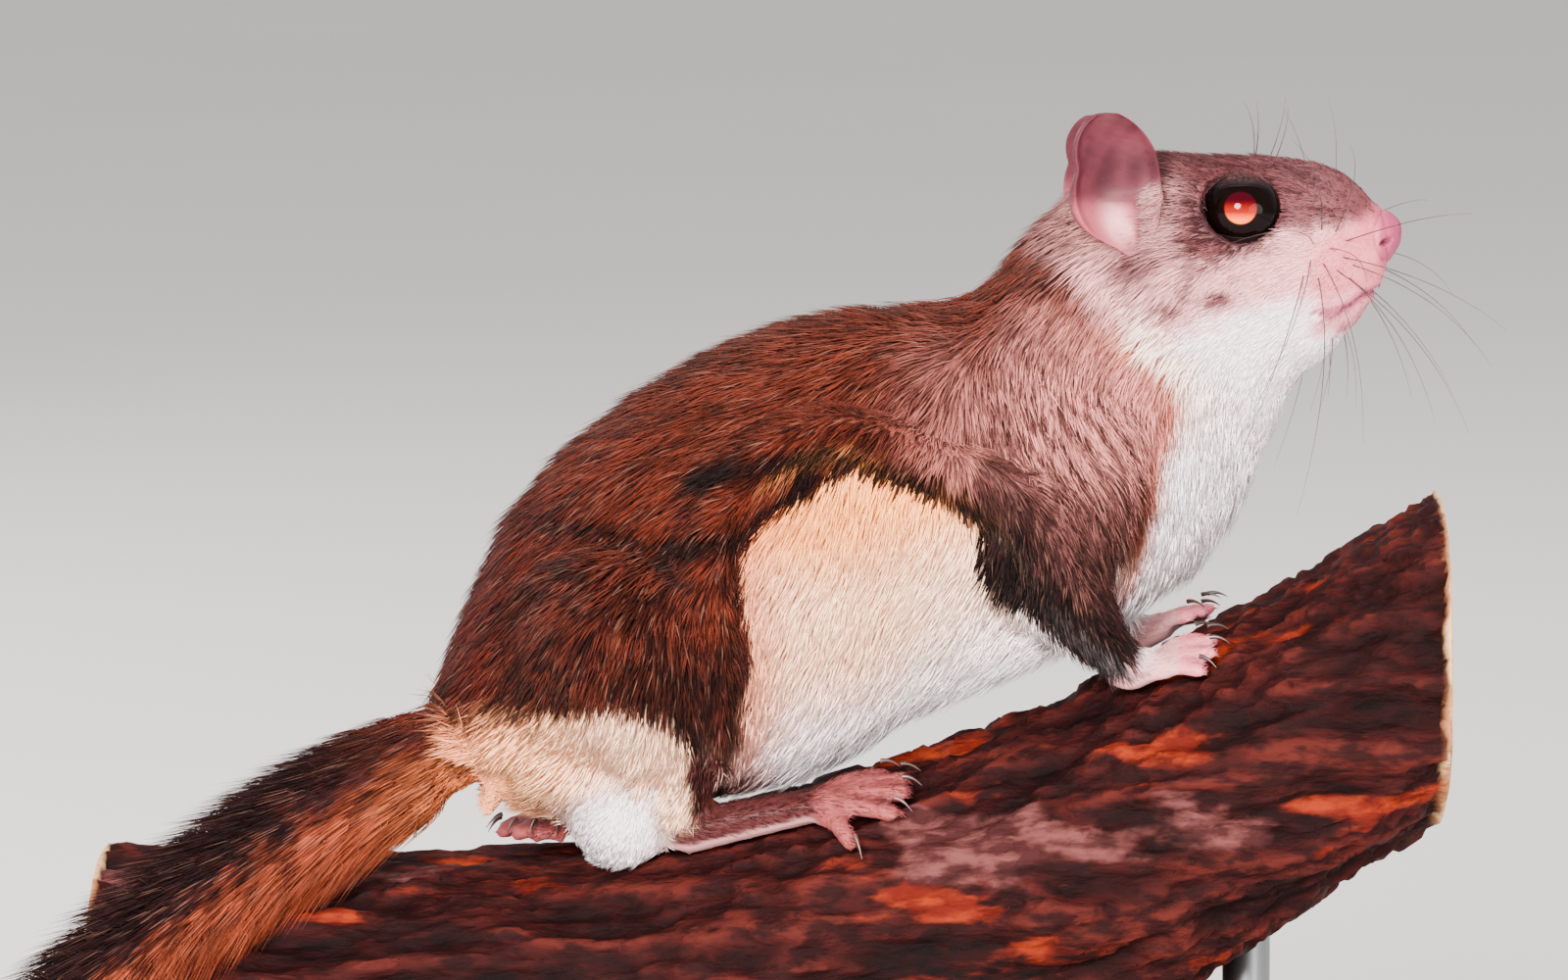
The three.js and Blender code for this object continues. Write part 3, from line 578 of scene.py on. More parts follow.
@dataclass(frozen=True)
class Markings:
    """Where each colour of the coat begins, in millimetres along and above the animal."""

    panel_edge: tuple = (
        (44.5, 12.0), (41.5, 15.3), (36.6, 19.2), (30.5, 25.0), (25.6, 29.5), (24.6, 33.0), (23.8, 36.7),
        (20.5, 39.5), (15.9, 41.1), (9.8, 43.8), (3.7, 41.2), (-0.6, 37.8), (-4.7, 33.8), (-5.4, 28.0),
        (-5.5, 20.0), (-5.2, 10.0), (-5.0, 0.0),
    )
    rim_points: int = 11
    upper_crease: tuple = (
        (-9.5, 41.6), (-4.0, 43.2), (0.6, 44.6), (6.1, 45.4), (11.0, 45.0), (17.1, 42.4), (23.0, 39.0),
    )
    rear_crease: tuple = (
        (-28.4, 37.0), (-24.0, 36.6), (-19.5, 35.8), (-12.2, 34.0), (-6.1, 35.0), (-1.2, 38.8), (3.7, 43.0),
    )
    rump_line: tuple = (
        (-60.0, 2.0), (-46.3, 6.0), (-41.0, 9.5), (-37.3, 11.8), (-28.3, 14.2), (-21.1, 15.6),
        (-14.8, 13.6), (-11.4, 10.6), (-10.6, 2.0), (-10.4, -8.0),
    )
    chest_line: tuple = (
        (40.0, 60.5), (42.9, 58.4), (48.2, 54.4), (48.8, 52.0), (47.4, 47.0), (46.0, 42.3), (44.0, 34.2),
        (42.9, 26.9), (43.4, 16.7),
    )
    smudges: tuple = (
        (54.4, 63.1, 2.6, 1.3, 0.9), (47.3, 62.9, 2.2, 1.2, 0.6), (44.5, 67.6, 4.4, 2.0, 0.55),
        (51.6, 66.6, 1.8, 1.0, 0.5), (60.5, 69.0, 3.2, 1.3, 0.35),
    )
    cheek_line: tuple = (
        (30.0, 57.0), (40.2, 59.6), (51.2, 61.6), (59.8, 63.2), (65.9, 64.2), (70.5, 64.8), (77.0, 64.4),
    )
    eye: tuple = (56.7, 73.6)
    shoulder_hub: tuple = (22.0, 38.0)
    shoulder_pitch: float = 2.3
    lip_tint: tuple = (190, 84, 44)

    def colours(self, points: Array, normals: Array, zones: dict[str, Array]) -> Array:
        """Works out the colour at each place.

        Args:
            points: places in metres.
            normals: outward directions there.
            zones: how far each place belongs to a named part, from 0 to 1.

        Returns:
            One linear colour for each place.
        """
        spots = Spots.of(points, normals, zones)
        in_panel = self.in_panel(spots)
        belly = np.maximum(in_panel, smoothstep(-0.2, -0.6, spots.up) * smoothstep(-12, -4, spots.x))
        coat = blended(self.back(spots), self.panel(spots), belly)
        coat = self.with_fold_shade(coat, spots, in_panel, belly)
        coat = self.with_rump(coat, spots)
        coat = self.with_chest(coat, spots)
        coat = blended(coat, self.head(spots), zones["head"])
        coat = blended(coat, spots.filled(Tint.TAIL_TOP), zones["tail"])
        return self.with_paws(coat, spots)

    def back(self, spots: Spots) -> Array:
        """Colours the brown back, shoulder, thigh and neck."""
        x, z, wobble, clump, edge = spots.x, spots.z, spots.wobble, spots.clump, spots.edge
        coat = spots.filled(Tint.BACK)
        coat = blended(coat, Tint.BACK_GREY, 0.35 * smoothstep(0.0, 0.9, spots.up) * smoothstep(-30, 10, x))
        under_neck = smoothstep(60, 52, z + edge - 8 * smoothstep(24, 33, x))
        coat = blended(coat, Tint.SHOULDER, 0.9 * smoothstep(10, 32, x) * under_neck)
        coat = blended(coat, Tint.RUMP, smoothstep(-20, -36, x))
        coat = blended(coat, Tint.THIGH, 0.8 * spots.zones["thigh"])
        coat = blended(coat, Tint.DARK_BROWN, 0.55 * smoothstep(0.15, 0.8, clump) * smoothstep(24, 6, x))
        low_thigh = smoothstep(24, 15.5, z + edge) * smoothstep(-24, -12, x)
        coat = blended(coat, Tint.DARK_BROWN, 0.7 * low_thigh)
        coat = blended(coat, Tint.BACK_GREY, 0.45 * smoothstep(24, 36, x) * smoothstep(54, 66, z))
        over_neck = z - 70.2 + 0.78 * (x - 30.5)
        ruff = (0.32 + 0.45 * smoothstep(71, 66.5, z)) * smoothstep(30.5, 36, x + wobble)
        coat = blended(coat, Tint.CHEEK, ruff * smoothstep(-1.0, 2.8, over_neck + 1.3 * wobble))
        neck_mark = soft_spot(x, z, (33.8, 65.4), (2.2, 0.9)) * smoothstep(-0.9, 0.4, clump)
        coat = blended(coat, Tint.DARK_BROWN, 0.85 * neck_mark)
        forearm = smoothstep(46, 35, z + 1.5 * clump) * smoothstep(24, 30, x)
        return blended(coat, Tint.DARK_BROWN, 0.8 * forearm)

    def in_panel(self, spots: Spots) -> Array:
        """Gives how far each place lies in the pale panel of the folded membrane."""
        x, edge = spots.x, spots.edge
        under_edge = smoothstep(0.2, -0.2, spots.z - line_height(self.panel_edge, x) + 0.25 * edge)
        return under_edge * smoothstep(-5.9, -5.0, x + 0.15 * edge) * smoothstep(45, 43, x)

    @staticmethod
    def panel(spots: Spots) -> Array:
        """Colours the pale panel, from cream above to white below."""
        x, z, wobble = spots.x, spots.z, spots.wobble
        panel = spots.filled(Tint.CREAM)
        panel = blended(panel, Tint.WARM_WHITE, smoothstep(40, 28, z - 0.16 * (x - 10) + 1.6 * wobble))
        panel = blended(panel, Tint.WHITE, smoothstep(25, 11, z - 0.35 * (x - 8) + 1.5 * wobble))
        middle = smoothstep(16, 6, np.abs(z - 22 - 0.4 * x)) * smoothstep(24, 12, x)
        panel = blended(panel, Tint.CREAM, 0.3 * middle)
        return blended(panel, Tint.BUFF, 0.6 * smoothstep(4.0, -4.0, x))

    def with_fold_shade(self, coat: Array, spots: Spots, in_panel: Array, belly: Array) -> Array:
        """Paints shade into the folds over the thigh, along the panel's rim and on the shoulder."""
        x, z, wobble, clump = spots.x, spots.z, spots.wobble, spots.clump
        upper = 1.0 - smoothstep(0.6, 1.7, line_distance(self.upper_crease, x, z) + 0.35 * clump)
        rear = 1.0 - smoothstep(0.4, 1.5, line_distance(self.rear_crease, x, z) + 0.35 * clump)
        gathers = smoothstep(0.15, 0.9, np.sin(z * 1.7 + 0.55 * x + 1.8 * wobble))
        gathers = gathers * smoothstep(-34, -26, x) * smoothstep(-4, -8, x)
        gathers = gathers * smoothstep(35, 32, z) * smoothstep(14, 19, z)
        rim_distance = line_distance(self.panel_edge[:self.rim_points], x, z)
        rim = (1.0 - smoothstep(0.7, 2.4, rim_distance + 0.4 * clump)) * (1.0 - in_panel)
        elbow = smoothstep(22.0, 24.5, x) * smoothstep(45, 41, x) * (1.0 - in_panel)
        elbow = elbow * (1.0 - smoothstep(4.4, 9.0, rim_distance + 0.8 * clump))
        turn = np.hypot(x - self.shoulder_hub[0], z - self.shoulder_hub[1])
        phase = turn * 2 * math.pi / self.shoulder_pitch + 2.2 * wobble + 0.8 * clump
        shoulder = smoothstep(0.0, 0.75, np.sin(phase)) * smoothstep(20, 27, x)
        shoulder = shoulder * smoothstep(4, 8, turn) * smoothstep(27, 21, turn) * (1.0 - belly)
        # Painted shade: each crease, rim, elbow, gather and shoulder ring is darkened towards Tint.DARK.
        for share in (0.95 * upper, 0.9 * rear, 0.75 * gathers, 0.85 * rim, 0.9 * elbow, 0.78 * shoulder):
            coat = blended(coat, Tint.DARK, share * spots.lateral)
        return coat

    def with_rump(self, coat: Array, spots: Spots) -> Array:
        """Colours the pale hair behind the thigh and the dark shank under it."""
        x, z = spots.x, spots.z
        soft = 0.8 + 4.2 * smoothstep(-27, -40, x)
        behind = smoothstep(1.0, -1.0, (z - line_height(self.rump_line, x) + 0.3 * spots.edge) / soft)
        behind = behind * smoothstep(-10.6, -12.0, x) * (1.0 - spots.zones["tail"])
        pale = blended(spots.filled(Tint.WARM_WHITE), Tint.CREAM, 0.2 + 0.5 * smoothstep(-18, -34, x))
        pale = blended(pale, Tint.TAIL_LOW, 0.8 * smoothstep(-33, -43, x + 1.5 * spots.wobble))
        coat = blended(coat, pale, behind)
        shank = spots.zones["shank"] * smoothstep(-12.8, -11.4, x) * smoothstep(-4.0, -5.2, x)
        coat = blended(coat, Tint.SHANK, shank * smoothstep(2, 6, z))
        return blended(coat, Tint.DARK_BROWN, 0.8 * shank * smoothstep(7, 14, z))

    def with_chest(self, coat: Array, spots: Spots) -> Array:
        """Colours the white chest and the warm line along its edge."""
        x, z = spots.x, spots.z
        from_edge = x - line_place(self.chest_line, z)
        front = smoothstep(-0.8, 0.8, from_edge + 0.25 * spots.edge)
        front = front * (smoothstep(60, 56, z) + smoothstep(42, 47, x)) * (1.0 - spots.zones["head"])
        chest = blended(spots.filled(Tint.WHITE), Tint.WARM_WHITE, 0.6 * smoothstep(44, 58, z))
        coat = blended(coat, chest, np.clip(front, 0, 1))
        lip = np.exp(-((from_edge / 1.5) ** 2)) * smoothstep(22, 30, z) * smoothstep(63, 57, z)
        return blended(coat, linear(self.lip_tint), 0.6 * lip * spots.lateral * smoothstep(30, 40, x))

    def head(self, spots: Spots) -> Array:
        """Colours the crown, the cheek, the ring round the eye and the muzzle."""
        x, z, wobble, clump = spots.x, spots.z, spots.wobble, spots.clump
        head = blended(spots.filled(Tint.CROWN), Tint.BROW, smoothstep(56, 68, x + 1.5 * clump))
        head = blended(head, Tint.BACK_GREY, smoothstep(46, 34, x))
        nape = smoothstep(80, 74, z + 1.2 * clump) * smoothstep(52.5, 48.0, x + clump)
        head = blended(head, Tint.CHEEK, 0.5 * nape)
        cheek_at = z - line_height(self.cheek_line, x) + 1.1 * wobble
        head = blended(head, Tint.CHEEK, smoothstep(8.6, 4.4, cheek_at + 0.8 * clump))
        head = blended(head, Tint.WHITE, smoothstep(0.6, -3.6, cheek_at))
        mottle = smoothstep(0.0, 0.8, clump) * smoothstep(-2.0, 1.0, cheek_at) * smoothstep(63, 56, x)
        head = blended(head, Tint.BROW, 0.6 * mottle)
        head = blended(head, Tint.CROWN, 0.5 * smoothstep(66, 70, x) * smoothstep(71.0, 73.5, z))
        smudges = sum(share * soft_spot(x, z, (sx, sz), (rx, rz)) for sx, sz, rx, rz, share in self.smudges)
        smudges = np.clip(smudges * (1 + 0.5 * clump), 0, 0.85)
        head = blended(head, Tint.CROWN, smudges * smoothstep(6, 9, spots.side))
        ring = np.hypot((x - self.eye[0] + 0.2) / 5.3, (z - self.eye[1]) / 4.4)
        ring = smoothstep(1.2, 0.88, ring + 0.06 * clump) * smoothstep(5, 8, spots.side)
        head = blended(head, Tint.EYE_RING, 0.88 * ring)
        return self.with_muzzle(head, spots)

    @staticmethod
    def with_muzzle(head: Array, spots: Spots) -> Array:
        """Colours the bare nose, the flesh round the lips and the mouth, and paints shade into the
        nostrils.
        """
        x, z, clump = spots.x, spots.z, spots.clump
        flesh = smoothstep(1.8, -1.6, z - 68.6 - 0.5 * (x - 64.8) + 0.6 * spots.wobble)
        flesh = smoothstep(63.5, 68.5, x + 0.8 * clump) * flesh
        head = blended(head, Tint.PINK, 0.8 * flesh * smoothstep(56.8, 59.4, z + 0.5 * clump))
        pad = smoothstep(73.4, 74.6, x) * smoothstep(73.4, 72.4, z) * smoothstep(65.8, 67.0, z)
        head = blended(head, Tint.NOSE, pad)
        mouth = 1.0 - smoothstep(0.3, 1.1, line_distance(MOUTH_LINE, x, z))
        head = blended(head, Tint.NOSE, 0.8 * mouth)
        # Painted shade in the carved nostril openings.
        nostril = nostril_distance(x, spots.side, z, (0.9, 1.5, 0.4))
        return blended(head, Tint.EYE_RING, 0.8 * smoothstep(1.0, 0.5, nostril))

    @staticmethod
    def with_paws(coat: Array, spots: Spots) -> Array:
        """Colours the hands and feet, their toes and the skin behind them, with painted shade in the paws'
        hollows and round the scrotum.
        """
        zones, fore = spots.zones, spots.x > 30
        paw = blended(spots.filled(Tint.SHANK), Tint.CHEEK, 0.7 * smoothstep(-0.3, -0.8, spots.up))
        paw = blended(paw, Tint.CHEEK, 0.8 * smoothstep(30, 40, spots.x))
        coat = blended(coat, paw, zones["paw"])
        digits = zones["paw"] * smoothstep(0.4, 0.85, zones["toes"])
        coat = blended(coat, Tint.PINK, 0.7 * digits * fore)
        coat = blended(coat, Tint.TOES, digits * ~fore)
        # Painted shade in the hollows between the toes.
        coat = blended(coat, Tint.DARK_BROWN, 0.75 * zones["hollow"])
        coat = blended(coat, Tint.WHITE, zones["scrotum"])
        # Painted shade: a dark ring round the edge of the scrotum, where it meets the thigh.
        outline = np.exp(-(((zones["scrotum"] - 0.5) / 0.22) ** 2))
        return coat * (1.0 - 0.45 * outline)[:, None]


# The skin


@dataclass(frozen=True)
class Coat:
    """How the coat stands on one part of the body, in millimetres and degrees."""

    length: float
    width: float
    inset: float
    lift: float
    density: float

    def row(self) -> tuple:
        """Gives the numbers in the order in which the skin keeps them."""
        return self.length, self.width, self.inset, self.lift, self.density


LENGTH, WIDTH, INSET, LIFT, DENSITY = range(5)
COATS = {
    "head": Coat(2.3, 0.17, 0.75, 17, 2.6),
    "nose": Coat(0.5, 0.08, 0.05, 14, 0.35),
    "neck": Coat(5.0, 0.22, 1.7, 19, 1.35),
    "trunk": Coat(5.6, 0.23, 1.8, 17, 1.2),
    "thigh": Coat(4.8, 0.23, 1.7, 18, 1.2),
    "shank": Coat(3.2, 0.22, 1.0, 17, 1.5),
    "foot": Coat(1.3, 0.12, 0.15, 15, 1.7),
    "upper_arm": Coat(4.8, 0.22, 1.7, 18, 1.3),
    "forearm": Coat(3.6, 0.22, 1.2, 18, 1.5),
    "hand": Coat(1.1, 0.11, 0.12, 15, 1.7),
    "patagium": Coat(3.8, 0.24, 1.0, 19, 1.5),
    "scrotum": Coat(2.0, 0.17, 0.7, 22, 2.4),
    "tail": Coat(8.0, 0.26, 0.0, 30, 1.5),
    "ear": Coat(0.7, 0.06, 0.0, 16, 0.35),
    "lid": Coat(0.9, 0.11, 0.0, 16, 3.2),
}
ZONE_PARTS = {
    "head": ("head", "nose", "lid"),
    "tail": ("tail",),
    "thigh": ("thigh",),
    "shank": ("shank",),
    "scrotum": ("scrotum",),
    "paw": ("foot", "hand"),
    "ear": ("ear",),
}


@dataclass
class TailCore:
    """The tail's middle line and the thin body under its long coat."""

    stops: tuple = (
        (-38.5, -6.2, 8.4, 5.6), (-41.8, -6.7, 6.2, 5.2), (-53.2, -12.8, 0.8, 3.6),
        (-63.8, -19.4, -5.0, 2.9), (-71.4, -25.0, -9.6, 2.6), (-79.6, -32.2, -15.6, 2.4),
        (-88.4, -38.0, -22.8, 2.1), (-97.6, -41.2, -30.4, 1.8), (-106.0, -42.5, -37.2, 1.3),
    )
    broad: tuple = (0.35, 0.55, 0.76)
    sectors: int = 14
    samples: int = 90

    def line(self) -> tuple[Array, Array]:
        """Gives the middle line's points in metres, and the core's radius at each."""
        rows = np.array(self.stops)
        rows[:, 2] += BARK_LEVEL
        radii = smooth_rows(rows[:, 3:], self.samples)[:, 0]
        return smooth_rows(rows[:, :3], self.samples) * MM, radii * MM

    def frames(self) -> tuple[Array, Array, Array, Array]:
        """Gives the middle line's points, directions, broad directions and flat directions."""
        points, _ = self.line()
        along = unit(np.gradient(points, axis=0))
        broad = np.tile(np.array(self.broad), (len(points), 1))
        broad = unit(broad - along * np.sum(broad * along, axis=1, keepdims=True))
        return points, along, broad, np.cross(along, broad)

    def shape(self) -> Shape:
        """Builds the core as a closed tube."""
        points, _, broad, flat = self.frames()
        _, radii = self.line()
        return tube(points, broad, flat, radii, self.sectors)


def smooth_rows(rows: Array, count: int) -> Array:
    """Runs a smooth curve through rows of numbers and samples it evenly by place."""
    last = len(rows) - 1
    at = np.linspace(0, last, count)
    index = np.minimum(at.astype(int), last - 1)
    t = (at - index)[:, None]
    before, here = rows[np.maximum(index - 1, 0)], rows[index]
    after, beyond = rows[index + 1], rows[np.minimum(index + 2, last)]
    rise, fall = (after - before) / 2, (beyond - here) / 2
    return (here * (2 * t**3 - 3 * t**2 + 1) + rise * (t**3 - 2 * t**2 + t)
            + after * (3 * t**2 - 2 * t**3) + fall * (t**3 - t**2))


def tube(points: Array, across: Array, up: Array, radii: Array, sectors: int) -> Shape:
    """Builds a closed round tube along points, with a cap at each end."""
    angles = np.arange(sectors) * 2 * math.pi / sectors
    ring = np.cos(angles)[None, :, None] * across[:, None] + np.sin(angles)[None, :, None] * up[:, None]
    body = (points[:, None] + ring * np.asarray(radii).reshape(-1, 1, 1)).reshape(-1, 3)
    faces = []
    for row in range(len(points) - 1):
        for k in range(sectors):
            a, b = row * sectors + k, row * sectors + (k + 1) % sectors
            faces.append([a, b, b + sectors, a + sectors])
    faces.append(list(range(sectors))[::-1])
    faces.append([(len(points) - 1) * sectors + k for k in range(sectors)])
    shape = Shape(body, faces)
    return outward(shape)


def outward(shape: Shape) -> Shape:
    """Turns a closed shape's faces to point out."""
    mesh = bmesh.new()
    verts = [mesh.verts.new(p) for p in shape.points]
    for face in shape.faces:
        mesh.faces.new([verts[i] for i in face])
    bmesh.ops.recalc_face_normals(mesh, faces=mesh.faces)
    mesh.verts.index_update()
    faces = [[v.index for v in f.verts] for f in mesh.faces]
    mesh.free()
    return Shape(shape.points, faces)


@dataclass
class EyeSize:
    """The eye and the opening of its lids, in millimetres."""

    centre: tuple = (56.7, 8.3, 73.6)
    radius: float = 4.9
    flatness: tuple = (1.0, 0.9, 0.92)
    opening: tuple = (4.35, 3.4)
    gaze: tuple = (-0.35, 0.6)
    lid_thick: float = 0.28
    lid_reach: float = 4.75

    def middle(self, side: int) -> Array:
        """Gives the eyeball's centre in metres."""
        return place(self.centre[0], side * self.centre[1], self.centre[2])

    def front(self, side: int) -> Array:
        """Gives the middle of the pupil on the eyeball, in metres."""
        back, up = self.gaze
        out = math.sqrt(self.radius**2 - back**2 - up**2) * self.flatness[1]
        return self.middle(side) + np.array([back, side * out, up]) * MM

    def ball(self, side: int) -> Shape:
        """Builds the eyeball as a fine closed ball whose poles face the sides of the head."""
        rows, sectors = 40, 64
        points = [[0.0, side * 1.0, 0.0]]
        for row in range(1, rows):
            tilt = math.pi * row / rows
            for k in range(sectors):
                turn = 2 * math.pi * k / sectors
                wide = math.sin(tilt)
                points.append([wide * math.cos(turn), side * math.cos(tilt), wide * math.sin(turn)])
        points.append([0.0, -side * 1.0, 0.0])
        faces = [[0, 1 + k, 1 + (k + 1) % sectors] for k in range(sectors)]
        for row in range(rows - 2):
            for k in range(sectors):
                a, b = 1 + row * sectors + k, 1 + row * sectors + (k + 1) % sectors
                faces.append([a, a + sectors, b + sectors, b])
        end = len(points) - 1
        start = 1 + (rows - 2) * sectors
        faces += [[end, start + (k + 1) % sectors, start + k] for k in range(sectors)]
        size = np.array(self.flatness) * self.radius * MM
        return outward(Shape(np.array(points) * size + self.middle(side), faces))

    def lids(self, side: int) -> Shape:
        """Builds the lids as a rounded collar that lies on the eyeball round its opening."""
        sectors, bands = 72, 7
        wide, high = self.opening
        points = []
        for k in range(sectors):
            turn = 2 * math.pi * k / sectors
            inner = math.hypot(wide * math.cos(turn), high * math.sin(turn))
            inner *= 1.0 + 0.05 * math.cos(2 * turn)
            profile = []
            for band in range(bands):
                t = band / (bands - 1)
                reach = inner + (self.lid_reach - inner) * t
                rise = self.lid_thick * (0.55 + 0.45 * math.sin(math.pi * min(t * 1.6, 1.0)))
                profile.append((reach, rise))
            profile = [(inner - 0.06, 0.12), *profile]
            under = [(self.lid_reach, -0.8), (inner + 0.1, -0.8)]
            for reach, rise in [*profile, *under]:
                ball = self.radius * 0.93
                depth = math.sqrt(max(ball**2 - reach**2, 0.04)) * self.flatness[1] / 0.93 + rise
                points.append([reach * math.cos(turn), side * depth, reach * math.sin(turn)])
        count = bands + 3
        faces = []
        for k in range(sectors):
            n = (k + 1) % sectors
            for j in range(count):
                m = (j + 1) % count
                faces.append([k * count + j, n * count + j, n * count + m, k * count + m])
        return outward(Shape(np.array(points) * MM + self.middle(side), faces))


@dataclass
class EarSize:
    """A round cupped ear, thick at its root, in millimetres and radians."""

    root: tuple = (41.2, 13.2, 68.2)
    height: float = 17.9
    half_widths: tuple = (0.8, 4.0, 5.4, 5.6, 5.3, 5.0, 4.6)
    middles: tuple = (2.2, 0.7, 0.0, -0.2, -0.3, -0.9, -1.4)
    tip_from: float = 0.7
    tip_reach: float = 0.32
    outward: float = 0.1
    back: float = 0.035
    forward: float = 0.28
    cup: float = 2.2
    thick: float = 0.7
    root_thick: float = 4.5
    root_share: float = 0.55
    far_share: float = 0.88
    across: int = 36
    up: int = 44

    def leaf(self, side: int, t: Array, s: Array, behind: bool) -> Array:
        """Gives points of the ear, in metres.

        Args:
            side: -1 for the right ear and 1 for the left.
            t: place from the root to the tip, from 0 to 1.
            s: place across the ear, from -1 behind to 1 in front.
            behind: whether the points lie on the ear's back.
        """
        beyond = np.maximum(t - self.tip_from, 0) / self.tip_reach
        width = along_rows(self.half_widths, t) * np.sqrt(1 - beyond**2)
        width = width * (1 - 0.05 * np.exp(-(((t - 0.62) / 0.05) ** 2)) * smoothstep(-0.4, -1.0, s))
        bend = self.cup * (1 - 0.6 * t) * (1 - s * s) * smoothstep(0.0, 0.3, t)
        edge = np.maximum(np.abs(s), (t - 0.06) * 1.06)
        rim = 0.5 * smoothstep(0.78, 0.97, edge) * smoothstep(0.1, 0.3, t)
        lobe = 2.3 * np.exp(-(((t - 0.2) / 0.12) ** 2 + ((s - 0.2) / 0.36) ** 2))
        shelf = 0.7 * np.exp(-(((t - 0.36 - 0.06 * s) / 0.035) ** 2)) * smoothstep(-0.5, 0.0, s)
        groove = 0.4 * np.exp(-(((s + 0.15) / 0.3) ** 2 + ((t - 0.52) / 0.2) ** 2))
        veins = 0.10 * np.sin(9 * s + 7 * t) * smoothstep(0.4, 0.7, t) * (1 - smoothstep(0.6, 0.9, edge))
        depth = self.thick + self.root_thick * np.maximum(1 - t / self.root_share, 0)
        face = -depth if behind else rim + lobe + shelf - groove + veins
        forward = along_rows(self.middles, t) + s * width
        local = np.stack([forward, side * (face - bend), t * self.height], -1)
        if side == SIDES["left"]:
            local[..., 2] *= self.far_share
        turn = rotation(-side * self.outward, -self.back, -side * self.forward)
        centre = place(self.root[0], side * self.root[1], self.root[2]) / MM
        return (local @ turn.T + centre) * MM

    def furry(self, spot: Array) -> Array:
        """Gives how far each place, in millimetres, lies under the hair of the ear's lower front edge."""
        return smoothstep(43.4, 45.4, spot[:, 0]) * smoothstep(78.5, 75.5, spot[:, 2] - BARK_LEVEL)

    def shape(self, side: int) -> Shape:
        """Builds the ear as a closed thin shell with a rounded rim."""
        rows = []
        for step in range(self.up + 1):
            t = np.full(self.across + 1, math.sin(step / self.up * math.pi / 2))
            s = np.linspace(-1, 1, self.across + 1)
            outer = self.leaf(side, t, s, behind=True)
            inner = self.leaf(side, t, s[::-1], behind=False)
            rows.append(np.concatenate([outer, inner]))
        count = len(rows[0])
        faces = []
        for row in range(self.up):
            for k in range(count):
                a, b = row * count + k, row * count + (k + 1) % count
                faces.append([a, b, b + count, a + count])
        half = self.across + 1
        for start in (0, self.up * count):
            for k in range(half - 1):
                facing = start + 2 * half - 1 - k
                faces.append([start + k, start + k + 1, facing - 1, facing])
        return outward(Shape(np.concatenate(rows), faces))


def along_rows(values: tuple, t: Array) -> Array:
    """Gives a smooth value through evenly spaced values, at places from 0 to 1 along them."""
    rows = np.array(values, float)[:, None]
    table = smooth_rows(rows, 241)[:, 0]
    return np.interp(t, np.linspace(0, 1, 241), table)


def rotation(about_x: float, about_y: float, about_z: float) -> Array:
    """Gives a turn about Z, then Y, then X, as a matrix product of the three."""
    cx, sx, cy, sy, cz, sz = (f(a) for a in (about_x, about_y, about_z) for f in (math.cos, math.sin))
    turn_x = np.array([[1, 0, 0], [0, cx, -sx], [0, sx, cx]])
    turn_y = np.array([[cy, 0, sy], [0, 1, 0], [-sy, 0, cy]])
    turn_z = np.array([[cz, -sz, 0], [sz, cz, 0], [0, 0, 1]])
    return turn_z @ turn_y @ turn_x


